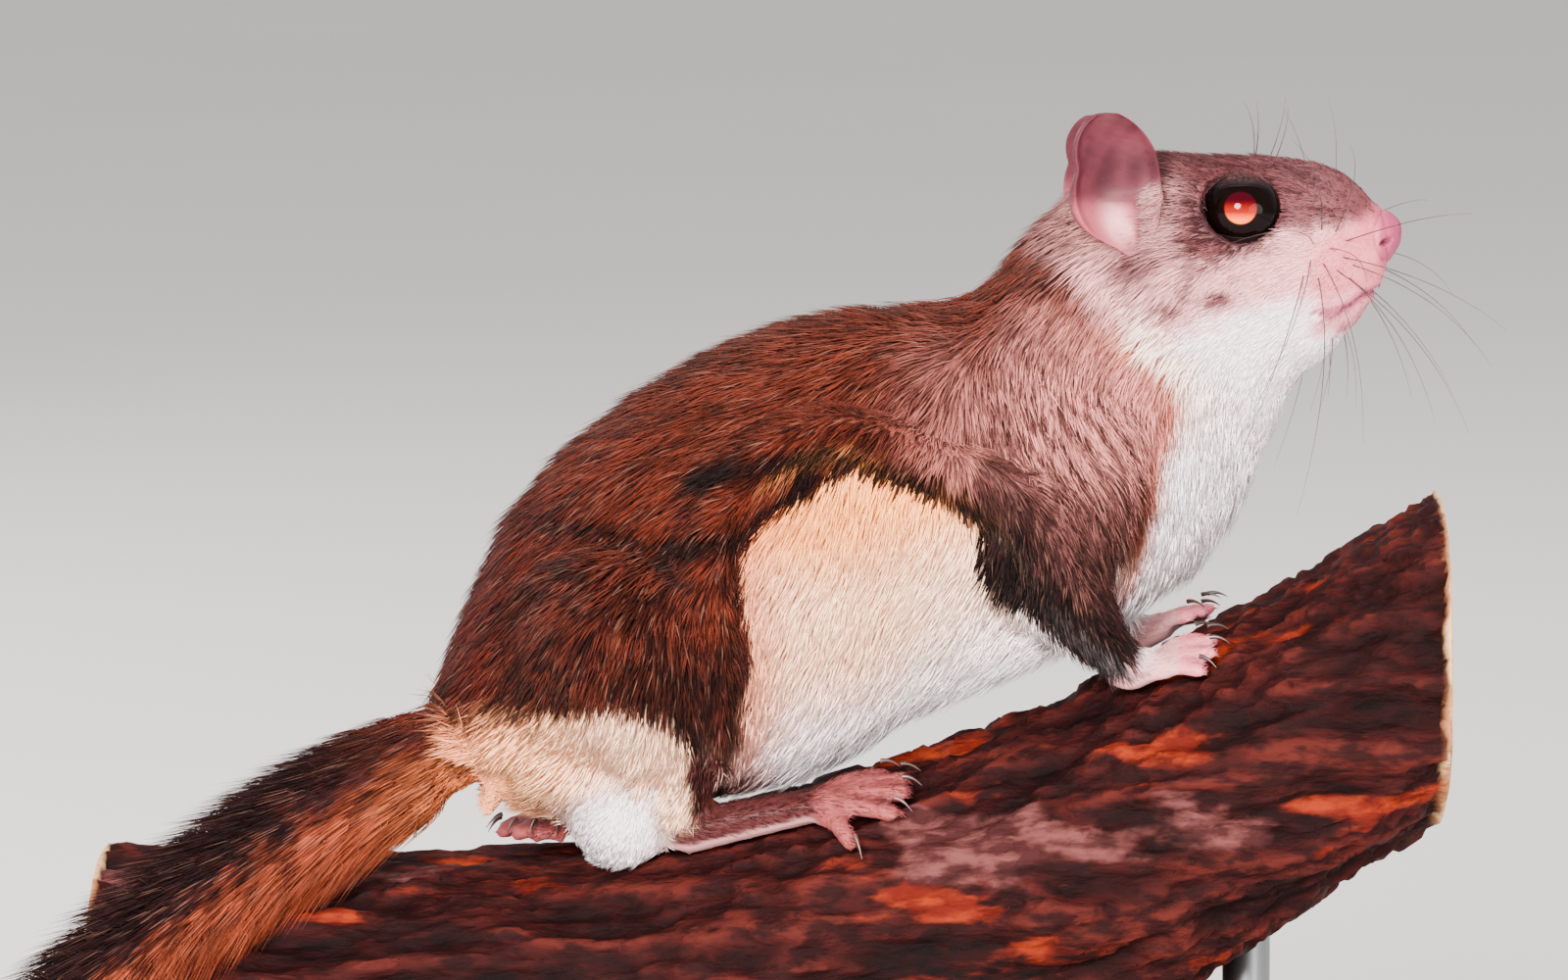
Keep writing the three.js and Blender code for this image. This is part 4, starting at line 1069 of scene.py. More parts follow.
@dataclass
class Skin:
    """The one skin under the coat, with lids, lips, nostrils and ears."""

    voxel: float = 0.00069
    swell: float = 0.00022
    eyes: EyeSize = field(default_factory=EyeSize)
    ears: EarSize = field(default_factory=EarSize)
    tail: TailCore = field(default_factory=TailCore)
    markings: Markings = field(default_factory=Markings)
    parts: tuple = ("head", "nose", "neck", "trunk", "scrotum")
    paired: tuple = ("thigh", "shank", "foot", "upper_arm", "forearm", "hand", "patagium")
    shape_rounds: int = 13
    value_rounds: int = 18
    zone_rounds: int = 7
    fine_zone_rounds: int = 3
    fine_from: float = 66.5
    darkened: float = 0.82
    fringe_gain: tuple = (1.5, 0.06, 0.0, 4.0, 3.2)
    object: bpy.types.Object = field(init=False)
    labels: Array = field(init=False)
    values: Array = field(init=False)
    tints: Array = field(init=False)
    zone_values: dict = field(init=False)
    first_extra: int = field(init=False)
    lid_count: int = field(init=False)

    def node_names(self) -> list[str]:
        """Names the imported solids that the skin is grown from."""
        return [*self.parts, *(f"{part}_{side}" for part in self.paired for side in SIDES)]

    def build(self) -> None:
        """Builds the skin's mesh, its colours, its unwrap and what the coat needs to know."""
        shapes, owners = [], []
        for name in self.node_names():
            shape = merged_node(name)
            shapes.append(shape)
            owners += [name.removesuffix("_right").removesuffix("_left")] * len(shape.faces)
        core = self.tail.shape()
        solid = joined([*shapes, core])
        owners += ["tail"] * len(core.faces)
        tree = BVHTree.FromPolygons([Vector(p) for p in solid.points], solid.faces)
        grown = [self.swollen(shape) for shape in shapes]
        self.object = remeshed("skin", joined([*grown, core]), self.voxel)
        self.refine_muzzle()
        mesh = self.object.data
        points = corner_points(mesh)
        pairs = edge_pairs(mesh)
        labels = np.array([owners[tree.find_nearest(Vector(p))[2]] for p in points])
        paws = np.isin(labels, ["foot", "hand"]).astype(float)
        face = np.isin(labels, ["head", "nose"]).astype(float) * (points[:, 0] / MM > 64)
        soft = np.clip(0.66 - 0.58 * averaged(paws, pairs, 3) - 0.4 * averaged(face, pairs, 3), 0.06, 0.66)
        points = averaged(points, pairs, self.shape_rounds, soft)
        set_points(mesh, points)
        values = np.array([COATS[label].row() for label in labels])
        self.values = averaged(values, pairs, self.value_rounds, 0.5)
        self.labels = labels
        points = points - corner_normals(mesh) * self.inset(points)[:, None] * MM
        points = averaged(points, pairs, 3, soft * 0.6)
        points = self.carved(points, corner_normals(mesh))
        set_points(mesh, points)
        self.add_lids_and_ears()
        self.colour()
        self.unwrap()

    def inset(self, points: Array) -> Array:
        """Gives how far the skin lies inside the outline, in millimetres, finer towards the nose."""
        x = points[:, 0] / MM
        return self.values[:, INSET] * (1.0 - 0.6 * smoothstep(62, 73, x) * (self.labels == "head"))

    def swollen(self, shape: Shape) -> Shape:
        """Moves a solid's faces out a little, so that neighbours overlap."""
        piece = mesh_object("swollen", shape)
        points = corner_points(piece.data) + corner_normals(piece.data) * self.swell
        bpy.data.objects.remove(piece)
        return Shape(points, shape.faces)

    def refine_muzzle(self) -> None:
        """Splits the squares of the muzzle, so that lips and nostrils have room for detail."""
        mesh = bmesh.new()
        mesh.from_mesh(self.object.data)
        near = [f for f in mesh.faces if f.calc_center_median().x > self.fine_from * MM]
        edges = list({e for f in near for e in f.edges})
        bmesh.ops.subdivide_edges(mesh, edges=edges, cuts=2, use_grid_fill=True)
        mesh.to_mesh(self.object.data)
        mesh.free()

    def carved(self, points: Array, normals: Array) -> Array:
        """Presses the mouth, the nostrils and the split of the nose into the muzzle."""
        x, z = points[:, 0] / MM, points[:, 2] / MM - BARK_LEVEL
        offset = points[:, 1] / MM - midline(x)
        side = np.abs(offset)
        to_mouth = line_distance(MOUTH_LINE, x, z)
        slit = np.exp(-((to_mouth / 0.32) ** 2)) * smoothstep(8.0, 6.5, side)
        lips = np.exp(-((to_mouth / 1.3) ** 2))
        lower_lip = soft_spot(x, z, (69.4, 59.9), (2.2, 1.2))
        nostril = smoothstep(1.2, 0.35, nostril_distance(x, side, z, (1.0, 1.5, 0.5)))
        wing = soft_spot(x, z, (75.0, 70.4), (1.1, 0.7)) * np.exp(-(((side - 3.0) / 1.4) ** 2))
        pad_edge = np.exp(-(((x - 73.7 - 0.12 * (z - 70) ** 2) / 0.3) ** 2)) * smoothstep(66.2, 67.5, z)
        split = np.exp(-((offset / 0.24) ** 2)) * smoothstep(74.5, 75.5, x) * smoothstep(71.2, 69.6, z)
        pads = soft_spot(x, z, (70.2, 65.6), (2.8, 2.4)) * np.exp(-(((side - 4.6) / 2.6) ** 2))
        push = (0.35 * lips + 0.5 * lower_lip - 0.85 * slit - 1.0 * nostril + 0.35 * wing - 0.22 * pad_edge
                - 0.3 * split + 0.7 * pads)
        only_muzzle = smoothstep(64.0, 66.0, x) * np.isin(self.labels, ["head", "nose"])
        return points + normals * (push * only_muzzle * MM)[:, None]

    def add_lids_and_ears(self) -> None:
        """Adds the fine shells of the lids and ears to the skin's mesh."""
        mesh = self.object.data
        base = Shape(corner_points(mesh), [list(f.vertices) for f in mesh.polygons])
        extra = [("lid", self.eyes.lids(side)) for side in SIDES.values()]
        extra += [("ear", self.ears.shape(side)) for side in SIDES.values()]
        self.first_extra = len(base.points)
        whole = joined([base, *(shape for _, shape in extra)])
        fresh = bpy.data.meshes.new("skin")
        fresh.from_pydata(whole.points.tolist(), [], whole.faces)
        fresh.update()
        fresh.shade_smooth()
        self.object.data = fresh
        for label, shape in extra:
            rows = np.tile(COATS[label].row(), (len(shape.points), 1))
            if label == "ear":
                rows += self.ears.furry(shape.points / MM)[:, None] * np.array(self.fringe_gain)
            self.values = np.concatenate([self.values, rows])
            self.labels = np.concatenate([self.labels, np.full(len(shape.points), label)])
        self.lid_count = sum(len(shape.points) for _, shape in extra[:2])

    def zones(self) -> dict[str, Array]:
        """Gives how far each point of the skin belongs to each named zone."""
        pairs = edge_pairs(self.object.data)
        zones = {}
        for zone, parts in ZONE_PARTS.items():
            rounds = self.fine_zone_rounds if zone in ("head", "ear") else self.zone_rounds
            zones[zone] = averaged(np.isin(self.labels, parts).astype(float), pairs, rounds)
        points = corner_points(self.object.data) / MM
        toes = np.zeros(len(points))
        for name in ("foot", "hand"):
            for side in SIDES:
                low, high = (np.array(v[:]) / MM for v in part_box(f"{name}_{side}"))
                tip_first = name == "foot" and side == "left"
                span = high[0] - low[0]
                along = (high[0] - points[:, 0]) if tip_first else (points[:, 0] - low[0])
                inside = np.all((points > low - 0.6) & (points < high + 0.6), axis=1)
                toes = np.maximum(toes, inside * smoothstep(0.45, 0.75, along / span))
        zones["toes"] = toes
        # Painted shade: the sunken valleys of the paws are marked to be darkened.
        sunk = np.sum((averaged(points, pairs, 5) - points) * corner_normals(self.object.data), axis=1)
        zones["hollow"] = smoothstep(0.02, 0.14, sunk) * zones["paw"]
        return zones

    def colour(self) -> None:
        """Stores the markings on the skin."""
        mesh = self.object.data
        points, normals = corner_points(mesh), corner_normals(mesh)
        self.zone_values = self.zones()
        colours = self.markings.colours(points, normals, self.zone_values) * self.darkened
        lids = slice(self.first_extra, self.first_extra + self.lid_count)
        eye = self.eyes
        spot = points[lids] / MM - np.array([eye.centre[0], 0.0, eye.centre[2] + BARK_LEVEL])
        reach = np.hypot(spot[:, 0] / eye.opening[0], spot[:, 2] / eye.opening[1])
        colours[lids] = blended(colours[lids], Tint.EYE_RING.shade * 0.3, smoothstep(1.26, 1.06, reach))
        colours = self.ear_colours(points, colours)
        self.tints = colours
        put_colours(mesh, colours)

    def ear_colours(self, points: Array, colours: Array) -> Array:
        """Colours the ears: mauve skin, darker behind the fold and paler at the lower lobe, with painted
        shade in the hollow, along the fold and at the notch.
        """
        start = self.first_extra + self.lid_count
        spot = points[start:] / MM
        x, z = spot[:, 0], spot[:, 2] - BARK_LEVEL
        cloud = ripple(spot, 5.0, 11)
        ear = np.tile(Tint.EAR.shade, (len(spot), 1))
        ear = blended(ear, Tint.EAR_DARK, np.clip(0.35 + 0.5 * cloud, 0, 1) * smoothstep(74.0, 79.0, z))
        ear = blended(ear, Tint.PINK, 0.28 * smoothstep(76.5, 73.5, z))
        # Painted shadow in the ear's deep hollow.
        hollow = soft_spot(x, z, (39.6, 76.8), (1.5, 2.6))
        ear = blended(ear, Tint.EAR_DARK, 0.85 * hollow)
        lobe = np.exp(-(((x - 41.4 + 0.3 * (z - 72.2)) / 1.7) ** 2 + ((z - 72.2) / 2.4) ** 2))
        ear = blended(ear, Tint.CHEEK, 0.6 * lobe)
        # Painted shade along the fold and in the notch at the ear's front edge.
        fold = np.exp(-(((z - 75.3 + 0.12 * (x - 41)) / 0.5) ** 2)) * smoothstep(38.0, 39.5, x)
        ear = blended(ear, Tint.EAR_DARK, 0.5 * fold)
        notch = np.exp(-(((x - 44.2) / 0.6) ** 2)) * smoothstep(75.5, 73.5, z)
        ear = blended(ear, Tint.EAR_DARK, 0.6 * notch)
        ear = blended(ear, Tint.BROW, self.ears.furry(spot))
        colours[start:] = ear
        return colours

    def unwrap(self) -> None:
        """Unwraps the skin on its own shape, for the coat's patches and for the skin itself."""
        mesh = self.object.data
        mesh.uv_layers.new(name="OFBake")
        bpy.context.view_layer.objects.active = self.object
        self.object.select_set(True)
        bpy.ops.object.mode_set(mode="EDIT")
        bpy.ops.mesh.select_all(action="SELECT")
        bpy.ops.uv.smart_project(angle_limit=math.radians(60), island_margin=0.002)
        bpy.ops.object.mode_set(mode="OBJECT")
        self.object.select_set(False)

    def dress(self) -> None:
        """Gives the skin its finish and its place in the frame."""
        finish = StoredColourFinish(
            "skin", roughness=0.5, specular=0.09, sheen=0.0,
            subsurface=0.25, bump_scale=1600.0, bump_depth=0.00012,
        )
        self.object.data.materials.append(finish.material())
        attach(self.object, BODY)
        ears = [f"ear_{side}" for side in SIDES]
        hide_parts(*self.node_names(), *ears, "tail_base", "tail_middle", "tail_end")


# The coat


@dataclass(frozen=True)
class Lie:
    """The lie of the coat: how hair points at places on one side of the body.

    Each guide is a place (x, sideways, height) and a direction (forward, outward, up).
    """

    guides: tuple = (
        ((76, 0, 72), (-1, 0.1, 0.35)), ((74, 2, 68), (-1, 0.5, 0.0)), ((66, 4, 79), (-1, 0.1, 0.1)),
        ((52, 0, 80), (-1, 0, -0.05)), ((63, 9, 74), (-1, 0.2, -0.05)), ((50, 12, 73), (-1, 0, -0.25)),
        ((56, 11, 79), (-1, 0, 0.05)), ((56, 12, 64), (-0.9, 0.1, -0.5)), ((70, 6, 66), (-1, 0.3, -0.25)),
        ((71, 2, 59), (-0.75, 0, -0.65)), ((65, 2, 51), (-0.4, 0, -0.9)),
        ((45, 12, 62), (-0.75, 0, -0.65)), ((38, 8, 76), (-0.9, 0, -0.35)),
        ((31, 4, 71), (-0.7, 0, -0.7)), ((38, 13, 62), (-0.35, 0, -0.9)), ((50, 12, 48), (-0.1, 0, -1)),
        ((58, 2, 38), (-0.35, 0, -0.95)), ((50, 10, 34), (-0.3, -0.2, -0.95)),
        ((43, 4, 22), (-0.85, 0, -0.5)), ((20, 4, 62), (-1, 0, -0.15)), ((0, 4, 60), (-0.97, 0, -0.3)),
        ((-20, 4, 50), (-0.8, 0, -0.6)), ((-34, 4, 36), (-0.6, 0, -0.8)), ((-42, 3, 18), (-0.8, 0, -0.6)),
        ((28, 14, 55), (0.2, 0, -0.97)), ((38, 15, 46), (0.45, 0, -0.88)),
        ((30, 16, 42), (0.35, 0, -0.93)), ((40, 15, 34), (0.25, 0, -0.96)),
        ((40, 16, 22), (0.3, 0, -0.95)), ((14, 15, 54), (-0.6, 0, -0.8)), ((5, 17, 50), (-0.8, 0, -0.6)),
        ((-8, 17, 44), (-0.85, 0, -0.5)), ((-16, 20, 32), (-0.6, 0, -0.8)),
        ((-26, 18, 28), (-0.6, 0, -0.8)), ((-22, 22, 20), (-0.25, 0, -0.97)),
        ((-36, 10, 24), (-0.65, 0, -0.75)), ((-10, 20, 22), (0.0, 0, -1)),
        ((-30, 11, 8), (-0.7, 0, -0.7)), ((-20, 14, 5), (-0.4, 0, -0.9)), ((8, 17, 38), (-0.3, 0, -0.95)),
        ((8, 17, 22), (-0.45, 0, -0.9)), ((20, 16, 26), (-0.6, 0, -0.8)),
        ((4, 12, 8), (-0.75, -0.3, -0.55)), ((5, 0, 3), (-1, 0, -0.2)), ((28, 4, 15), (-1, 0, -0.4)),
        ((-8, 18, 12), (0.05, 0, -1)), ((-38, 4, 4), (-1, 0, -0.05)),
    )
    paw_guides: tuple = (
        ((-4, -17, 3), (1, 0, -0.05)), ((10, -20, 2), (1, -0.15, -0.25)),
        ((-18, 11, -2), (-0.9, -0.4, 0)), ((-30, 5, -5), (-0.8, -0.6, -0.2)),
        ((45, -15, 18), (1, 0, 0.2)), ((50, -15, 19), (1, 0, 0)), ((46, 14, 18), (1, 0, 0.2)),
        ((51, 13, 19), (1, 0, 0)),
    )

    def directions(self, points: Array, normals: Array, paw: Array) -> Array:
        """Gives the direction along the surface that the hair at each point follows."""
        mm = points / MM
        x, z = mm[:, 0], mm[:, 2] - BARK_LEVEL
        offset = mm[:, 1] - midline(x)
        sign = np.where(offset < 0, -1.0, 1.0)
        local = np.stack([x, np.abs(offset), z], 1)
        way = self.mixed(self.guides, local)
        way[:, 1] *= sign
        paws = self.mixed(self.paw_guides, np.stack([x, mm[:, 1], z], 1))
        way = way + (paws - way) * paw[:, None]
        from_eye = np.stack([x - EyeSize.centre[0], np.zeros(len(x)), z - EyeSize.centre[2]], 1)
        reach = np.hypot(from_eye[:, 0], from_eye[:, 2] * 1.2)
        near = smoothstep(7.2, 4.6, reach) * smoothstep(5, 8, np.abs(offset))
        way = way + (unit(from_eye) - way) * (0.4 * near)[:, None]
        way = way - normals * np.sum(way * normals, axis=1, keepdims=True)
        return unit(way)

    @staticmethod
    def mixed(guides: tuple, points: Array) -> Array:
        """Blends the guides' directions, the nearest most."""
        total = np.zeros_like(points)
        for spot, direction in guides:
            gap = np.sum((points - np.array(spot, float)) ** 2, axis=1) + 4.0
            total += unit(np.array(direction, float)) / (gap**2)[:, None]
        return unit(total)


TUFT_CORNERS = 7  # three round the root, three round the middle and the tip
TUFT_FACES = (
    (0, 1, 4), (0, 4, 3), (1, 2, 5), (1, 5, 4), (2, 0, 3), (2, 3, 5), (3, 4, 6), (4, 5, 6), (5, 3, 6),
)
TUFT_SPOTS = ((0, 0), (1, 0), (0.5, 0.4), (0, 0.6), (1, 0.6), (0.5, 0.8), (0.5, 1))
TIP_SHARES = (0, 0, 0, 0.6, 0.6, 0.6, 1.0)  # how far each corner takes the tip's colour


@dataclass
class Tufts:
    """The coat as small curved tufts rooted on the skin."""

    skin: Skin
    lie: Lie = field(default_factory=Lie)
    body_count: int = 128000
    tail_count: int = 27000
    per_piece: int = 22000
    patch: float = 0.003
    seed: int = 7
    streak_count: int = 3000
    streak_size: tuple = (0.42, 2.4)
    grizzle: tuple = (0.26, 0.12, 0.08)
    ear_gain: float = 1.25
    fleck_share: float = 0.14
    grey_share: float = 0.08

    def roots(self, rng: np.random.Generator) -> dict[str, Array]:
        """Spreads roots over the skin, closer together where the coat is finer."""
        mesh = self.skin.object.data
        mesh.calc_loop_triangles()
        count = len(mesh.loop_triangles)
        corners = np.empty(count * 3, dtype=np.int32)
        mesh.loop_triangles.foreach_get("vertices", corners)
        corners = corners.reshape(-1, 3)
        loops = np.empty(count * 3, dtype=np.int32)
        mesh.loop_triangles.foreach_get("loops", loops)
        loops = loops.reshape(-1, 3)
        uv = np.empty(len(mesh.loops) * 2)
        mesh.uv_layers["OFBake"].data.foreach_get("uv", uv)
        uv = uv.reshape(-1, 2)
        points, normals = corner_points(mesh), corner_normals(mesh)
        a, b, c = (points[corners[:, k]] for k in range(3))
        area = np.linalg.norm(np.cross(b - a, c - a), axis=1) / 2
        tail = self.skin.zone_values["tail"][corners].mean(axis=1) > 0.5
        density = self.skin.values[:, DENSITY][corners].mean(axis=1)
        density *= self.openness(points, normals)[corners].mean(axis=1)
        picks = []
        for members, wanted in ((~tail, self.body_count), (tail, self.tail_count)):
            share = area * density * members
            picks.append(rng.choice(count, size=wanted, p=share / share.sum()))
        pick = np.concatenate(picks)
        u, v = rng.random(len(pick)), rng.random(len(pick))
        flip = u + v > 1
        u[flip], v[flip] = 1 - u[flip], 1 - v[flip]
        weights = np.stack([1 - u - v, u, v], 1)
        chosen = corners[pick]

        def at(rows: Array) -> Array:
            """Reads a value at each root from the three corners round it."""
            taken = rows[chosen]
            return np.sum(taken * (weights if taken.ndim == 2 else weights[..., None]), axis=1)

        roots = {"points": at(points), "normals": unit(at(normals)), "values": at(self.skin.values)}
        roots["uv"] = np.sum(uv[loops[pick]] * weights[..., None], axis=1)
        roots["zones"] = {name: at(rows) for name, rows in self.skin.zone_values.items()}
        roots["skin"] = at(self.skin.tints)
        return roots

    def openness(self, points: Array, normals: Array) -> Array:
        """Gives 0 where no hair grows: eyes, nostrils, lips, soles and the inside of folds."""
        x, z = points[:, 0] / MM, points[:, 2] / MM - BARK_LEVEL
        side = points[:, 1] / MM - midline(x)
        open_skin = np.ones(len(x))
        for sign in SIDES.values():
            eye = self.skin.eyes.centre
            away = np.hypot((x - eye[0]) / 4.7, (z - eye[2]) / 3.75) + (side * sign < 5.0)
            open_skin *= smoothstep(0.97, 1.06, away)
        nose_pad = smoothstep(73.6, 74.4, x) * smoothstep(66.0, 67.0, z) * smoothstep(73.4, 72.6, z)
        mouth = np.exp(-((line_distance(MOUTH_LINE, x, z) / 0.5) ** 2))
        ear = self.skin.ears
        rise = (z - ear.root[2]) / ear.height
        from_middle = np.abs(x - ear.root[0] - along_rows(ear.middles, rise))
        under_ear = (from_middle < along_rows(ear.half_widths, rise) - 0.6) & (np.abs(side) > 6)
        under_ear &= (self.skin.zone_values["ear"] < 0.5) & (rise > 0) & (rise < 0.5)
        open_skin *= np.where(under_ear, 0.0, 1.0)
        open_skin *= (1 - nose_pad) * (1 - 0.9 * mouth)
        paw = self.skin.zone_values["paw"] > 0.5
        open_skin *= np.where(paw & (normals[:, 2] < -0.35), 0.0, 1.0)
        return open_skin

    def grow(self) -> None:
        """Grows every tuft and gathers them into pieces that ride on the body."""
        rng = np.random.default_rng(self.seed)
        roots = self.roots(rng)
        zones = roots["zones"]
        tail = zones["tail"] > 0.5
        ways, lengths, lifts = self.body_lie(roots, rng)
        self.tail_lie(roots, tail, ways, lengths, lifts, rng)
        x, z = roots["points"][:, 0] / MM, roots["points"][:, 2] / MM - BARK_LEVEL
        under_tail = smoothstep(-43, -40, x) * smoothstep(-29, -34, x) * smoothstep(8, 4.5, z)
        lengths *= 1 - 0.8 * under_tail
        order = np.argsort(np.where(tail, 1e6, 0) - roots["points"][:, 0])
        finish = StoredColourFinish("fur", roughness=0.6, specular=0.05, sheen=0.01).material()
        shades = self.shades(roots, ways, tail, rng)
        bundles = np.array_split(order, max(1, math.ceil(len(order) / self.per_piece)))
        for index, chosen in enumerate(bundles, start=1):
            piece = self.bundle(f"coat_{index}", roots, chosen, ways, lengths, lifts, shades)
            piece.data.materials.append(finish)
            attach(piece, BODY)
            LOG.info("%s: %d tufts", piece.name, len(chosen))

    def body_lie(self, roots: dict, rng: np.random.Generator) -> tuple[Array, Array, Array]:
        """Gives each tuft's direction, length and lift over the skin."""
        points, normals, values = roots["points"], roots["normals"], roots["values"]
        count = len(points)
        ways = self.lie.directions(points, normals, smoothstep(0.3, 0.8, roots["zones"]["paw"]))
        across = np.cross(normals, ways)
        sway = 0.16 * ripple(points / MM, 6.0, 21) + rng.normal(0, 0.13, count)
        ways = unit(ways + across * sway[:, None])
        x = points[:, 0] / MM
        lengths = values[:, LENGTH] * rng.uniform(0.72, 1.18, count)
        muzzle = smoothstep(60, 73, x) * smoothstep(0.4, 0.8, roots["zones"]["head"])
        back_head = smoothstep(54, 42, x) * roots["zones"]["head"]
        z = points[:, 2] / MM - BARK_LEVEL
        before_ear = soft_spot(x, z, (47.8, 71.5), (2.6, 5.6)) * roots["zones"]["head"]
        lengths *= (1 - 0.62 * muzzle) * (1 + 0.6 * back_head) * (1 + 1.2 * before_ear)
        lifts = np.radians(values[:, LIFT] * rng.uniform(0.7, 1.35, count))
        lifts += 0.05 * ripple(points / MM, 3.0, 22)
        return ways, lengths * MM, np.clip(lifts + 0.3 * before_ear, 0.08, 0.9)

    def tail_lie(self, roots: dict, tail: Array, ways: Array, lengths: Array, lifts: Array,
                 rng: np.random.Generator) -> None:
        """Combs the tail's hair backwards, and out to both sides as a flat brush."""
        line, along, broad, _ = self.skin.tail.frames()
        points = roots["points"][tail]
        nearest = np.argmin(((points[:, None] - line[None, ::3]) ** 2).sum(axis=2), axis=1) * 3
        out = unit(points - line[nearest])
        sideways = np.abs(np.sum(out * broad[nearest], axis=1))
        place_along = nearest / len(line)
        way, base = along[nearest], roots["normals"][tail]
        ways[tail] = unit(way - base * np.sum(way * base, axis=1, keepdims=True))
        spread = smoothstep(0.25, 0.95, sideways)
        grown = smoothstep(0.02, 0.3, place_along)
        size = (5.2 + 5.6 * spread * grown) * (1 - 0.35 * smoothstep(0.82, 1.0, place_along))
        lengths[tail] = size * rng.uniform(0.75, 1.15, len(points)) * MM
        lifts[tail] = np.radians(15 + 26 * spread * grown) * rng.uniform(0.75, 1.2, len(points))
        roots["tail_low"] = np.sum(out * -broad[nearest], axis=1)
        roots["tail_place"] = place_along

    def streaks(self, points: Array, ways: Array, rng: np.random.Generator) -> Array:
        """Gives dark streaks that run with the hair, from 0 to 1 at each root."""
        tree = KDTree(len(points))
        for index, spot in enumerate(points):
            tree.insert(spot, index)
        tree.balance()
        dark = np.zeros(len(points))
        half_wide, half_long = (size * MM for size in self.streak_size)
        for seed in rng.choice(len(points), self.streak_count, replace=False):
            near = np.array([hit[1] for hit in tree.find_range(Vector(points[seed]), half_long * 1.6)])
            gap = points[near] - points[seed]
            along = gap @ ways[seed]
            across = np.linalg.norm(gap - along[:, None] * ways[seed], axis=1)
            shade = np.exp(-((across / half_wide) ** 2) - (along / half_long) ** 2)
            dark[near] = np.maximum(dark[near], shade)
        return dark

    def shades(self, roots: dict, ways: Array, tail: Array,
               rng: np.random.Generator) -> tuple[Array, Array]:
        """Gives each tuft's colour at its root and at its tip."""
        points, zones = roots["points"], roots["zones"]
        colour = self.skin.markings.colours(points, roots["normals"], zones)
        ear = smoothstep(0.3, 0.7, zones["ear"])
        fringe = ear * self.skin.ears.furry(points / MM)
        ear = ear - fringe
        colour = blended(colour, (Tint.BROW.shade + Tint.CHEEK.shade) / 2, fringe)
        colour = blended(colour, roots["skin"] * self.ear_gain, ear)
        spot = points[tail] / MM
        low = roots["tail_low"] + 0.45 * ripple(spot, 5.0, 51) + rng.normal(0, 0.22, len(spot))
        low = smoothstep(-0.25, 1.15, low)
        near_root = smoothstep(0.28, 0.04, roots["tail_place"])
        upper = blended(np.tile(Tint.TAIL_TOP.shade, (tail.sum(), 1)), Tint.TAIL_ROOT, near_root)
        lower = blended(np.tile(Tint.TAIL_LOW.shade, (tail.sum(), 1)), Tint.CREAM, 0.35 * near_root)
        colour[tail] = blended(upper, lower, low)
        count = len(points)
        brightness = luminance(colour)
        brown = smoothstep(0.62, 0.4, brightness)
        flecks = np.maximum(rng.random(count) < self.fleck_share, self.streaks(points, ways, rng)) * brown
        grey = (rng.random(count) < self.grey_share) * brown
        vary = rng.normal(1.0, 0.11, count) * (1 + 0.12 * ripple(points / MM, 2.4, 31))
        tip = colour * np.clip(vary, 0.6, 1.4)[:, None]
        tip = tip * (1 - 0.78 * flecks)[:, None]
        tip = tip + (self.grizzle - tip) * (0.3 * grey)[:, None]
        root = colour * (0.5 + 0.35 * smoothstep(0.25, 0.6, brightness) - 0.25 * flecks)[:, None]
        return root, np.clip(tip * 1.12, 0, 1)

    def bundle(self, name: str, roots: dict, chosen: Array, ways: Array, lengths: Array, lifts: Array,
               shades: tuple[Array, Array]) -> bpy.types.Object:
        """Builds one piece of coat: seven corners and nine faces for each tuft."""
        point, normal = roots["points"][chosen], roots["normals"][chosen]
        way, length, lift = ways[chosen], lengths[chosen][:, None], lifts[chosen][:, None]
        width = roots["values"][chosen][:, WIDTH, None] * MM / 2
        across = unit(np.cross(normal, way))
        start = way * np.cos(lift * 1.5) + normal * np.sin(lift * 1.5)
        finish = way * np.cos(lift * 0.55) + normal * np.sin(lift * 0.55)
        root = point - normal * 0.15 * MM
        middle = root + start * length * 0.5
        tip = middle + finish * length * 0.5
        rings = []
        for centre, size, axis in ((root, 1.0, start), (middle, 0.85, start)):
            rise = unit(np.cross(axis, across))
            rings.append(centre + across * width * size)
            rings.append(centre - across * width * size)
            rings.append(centre - rise * width * size * 0.7)
        corners = np.stack([*rings, tip], 1)
        count = len(chosen)
        pattern = np.array(TUFT_FACES)
        up = np.sum(np.cross(corners[0, 1] - corners[0, 0], corners[0, 4] - corners[0, 0])
                    * (corners[0, 0] - corners[0, 2]))
        if up < 0:
            pattern = pattern[:, ::-1]
        faces = (pattern[None] + (np.arange(count) * TUFT_CORNERS)[:, None, None]).reshape(-1)
        mesh = bpy.data.meshes.new(name)
        mesh.vertices.add(count * TUFT_CORNERS)
        mesh.vertices.foreach_set("co", corners.ravel())
        mesh.loops.add(len(faces))
        mesh.loops.foreach_set("vertex_index", faces.astype(np.int32))
        mesh.polygons.add(len(faces) // 3)
        mesh.polygons.foreach_set("loop_start", np.arange(0, len(faces), 3, dtype=np.int32))
        mesh.update(calc_edges=True)
        mesh.shade_smooth()
        low, high = shades[0][chosen], shades[1][chosen]
        share = np.array(TIP_SHARES)[None, :, None]
        put_colours(mesh, (low[:, None] + (high - low)[:, None] * share).reshape(-1, 3))
        spread = (np.array(TUFT_SPOTS) - 0.5) * self.patch
        spots = (roots["uv"][chosen][:, None] + spread[None]).reshape(-1, 2)
        layer = mesh.uv_layers.new(name="OFBake")
        layer.data.foreach_set("uv", np.clip(spots, 0.0, 1.0)[faces].ravel())
        piece = bpy.data.objects.new(name, mesh)
        bpy.context.scene.collection.objects.link(piece)
        return piece


def luminance(colour: Array) -> Array:
    """Gives how light each colour is, on a scale that the eye reads as even."""
    return np.sqrt(np.clip(colour @ np.array([0.25, 0.6, 0.15]), 0, 1))


# Whiskers and claws, swept by geometry nodes


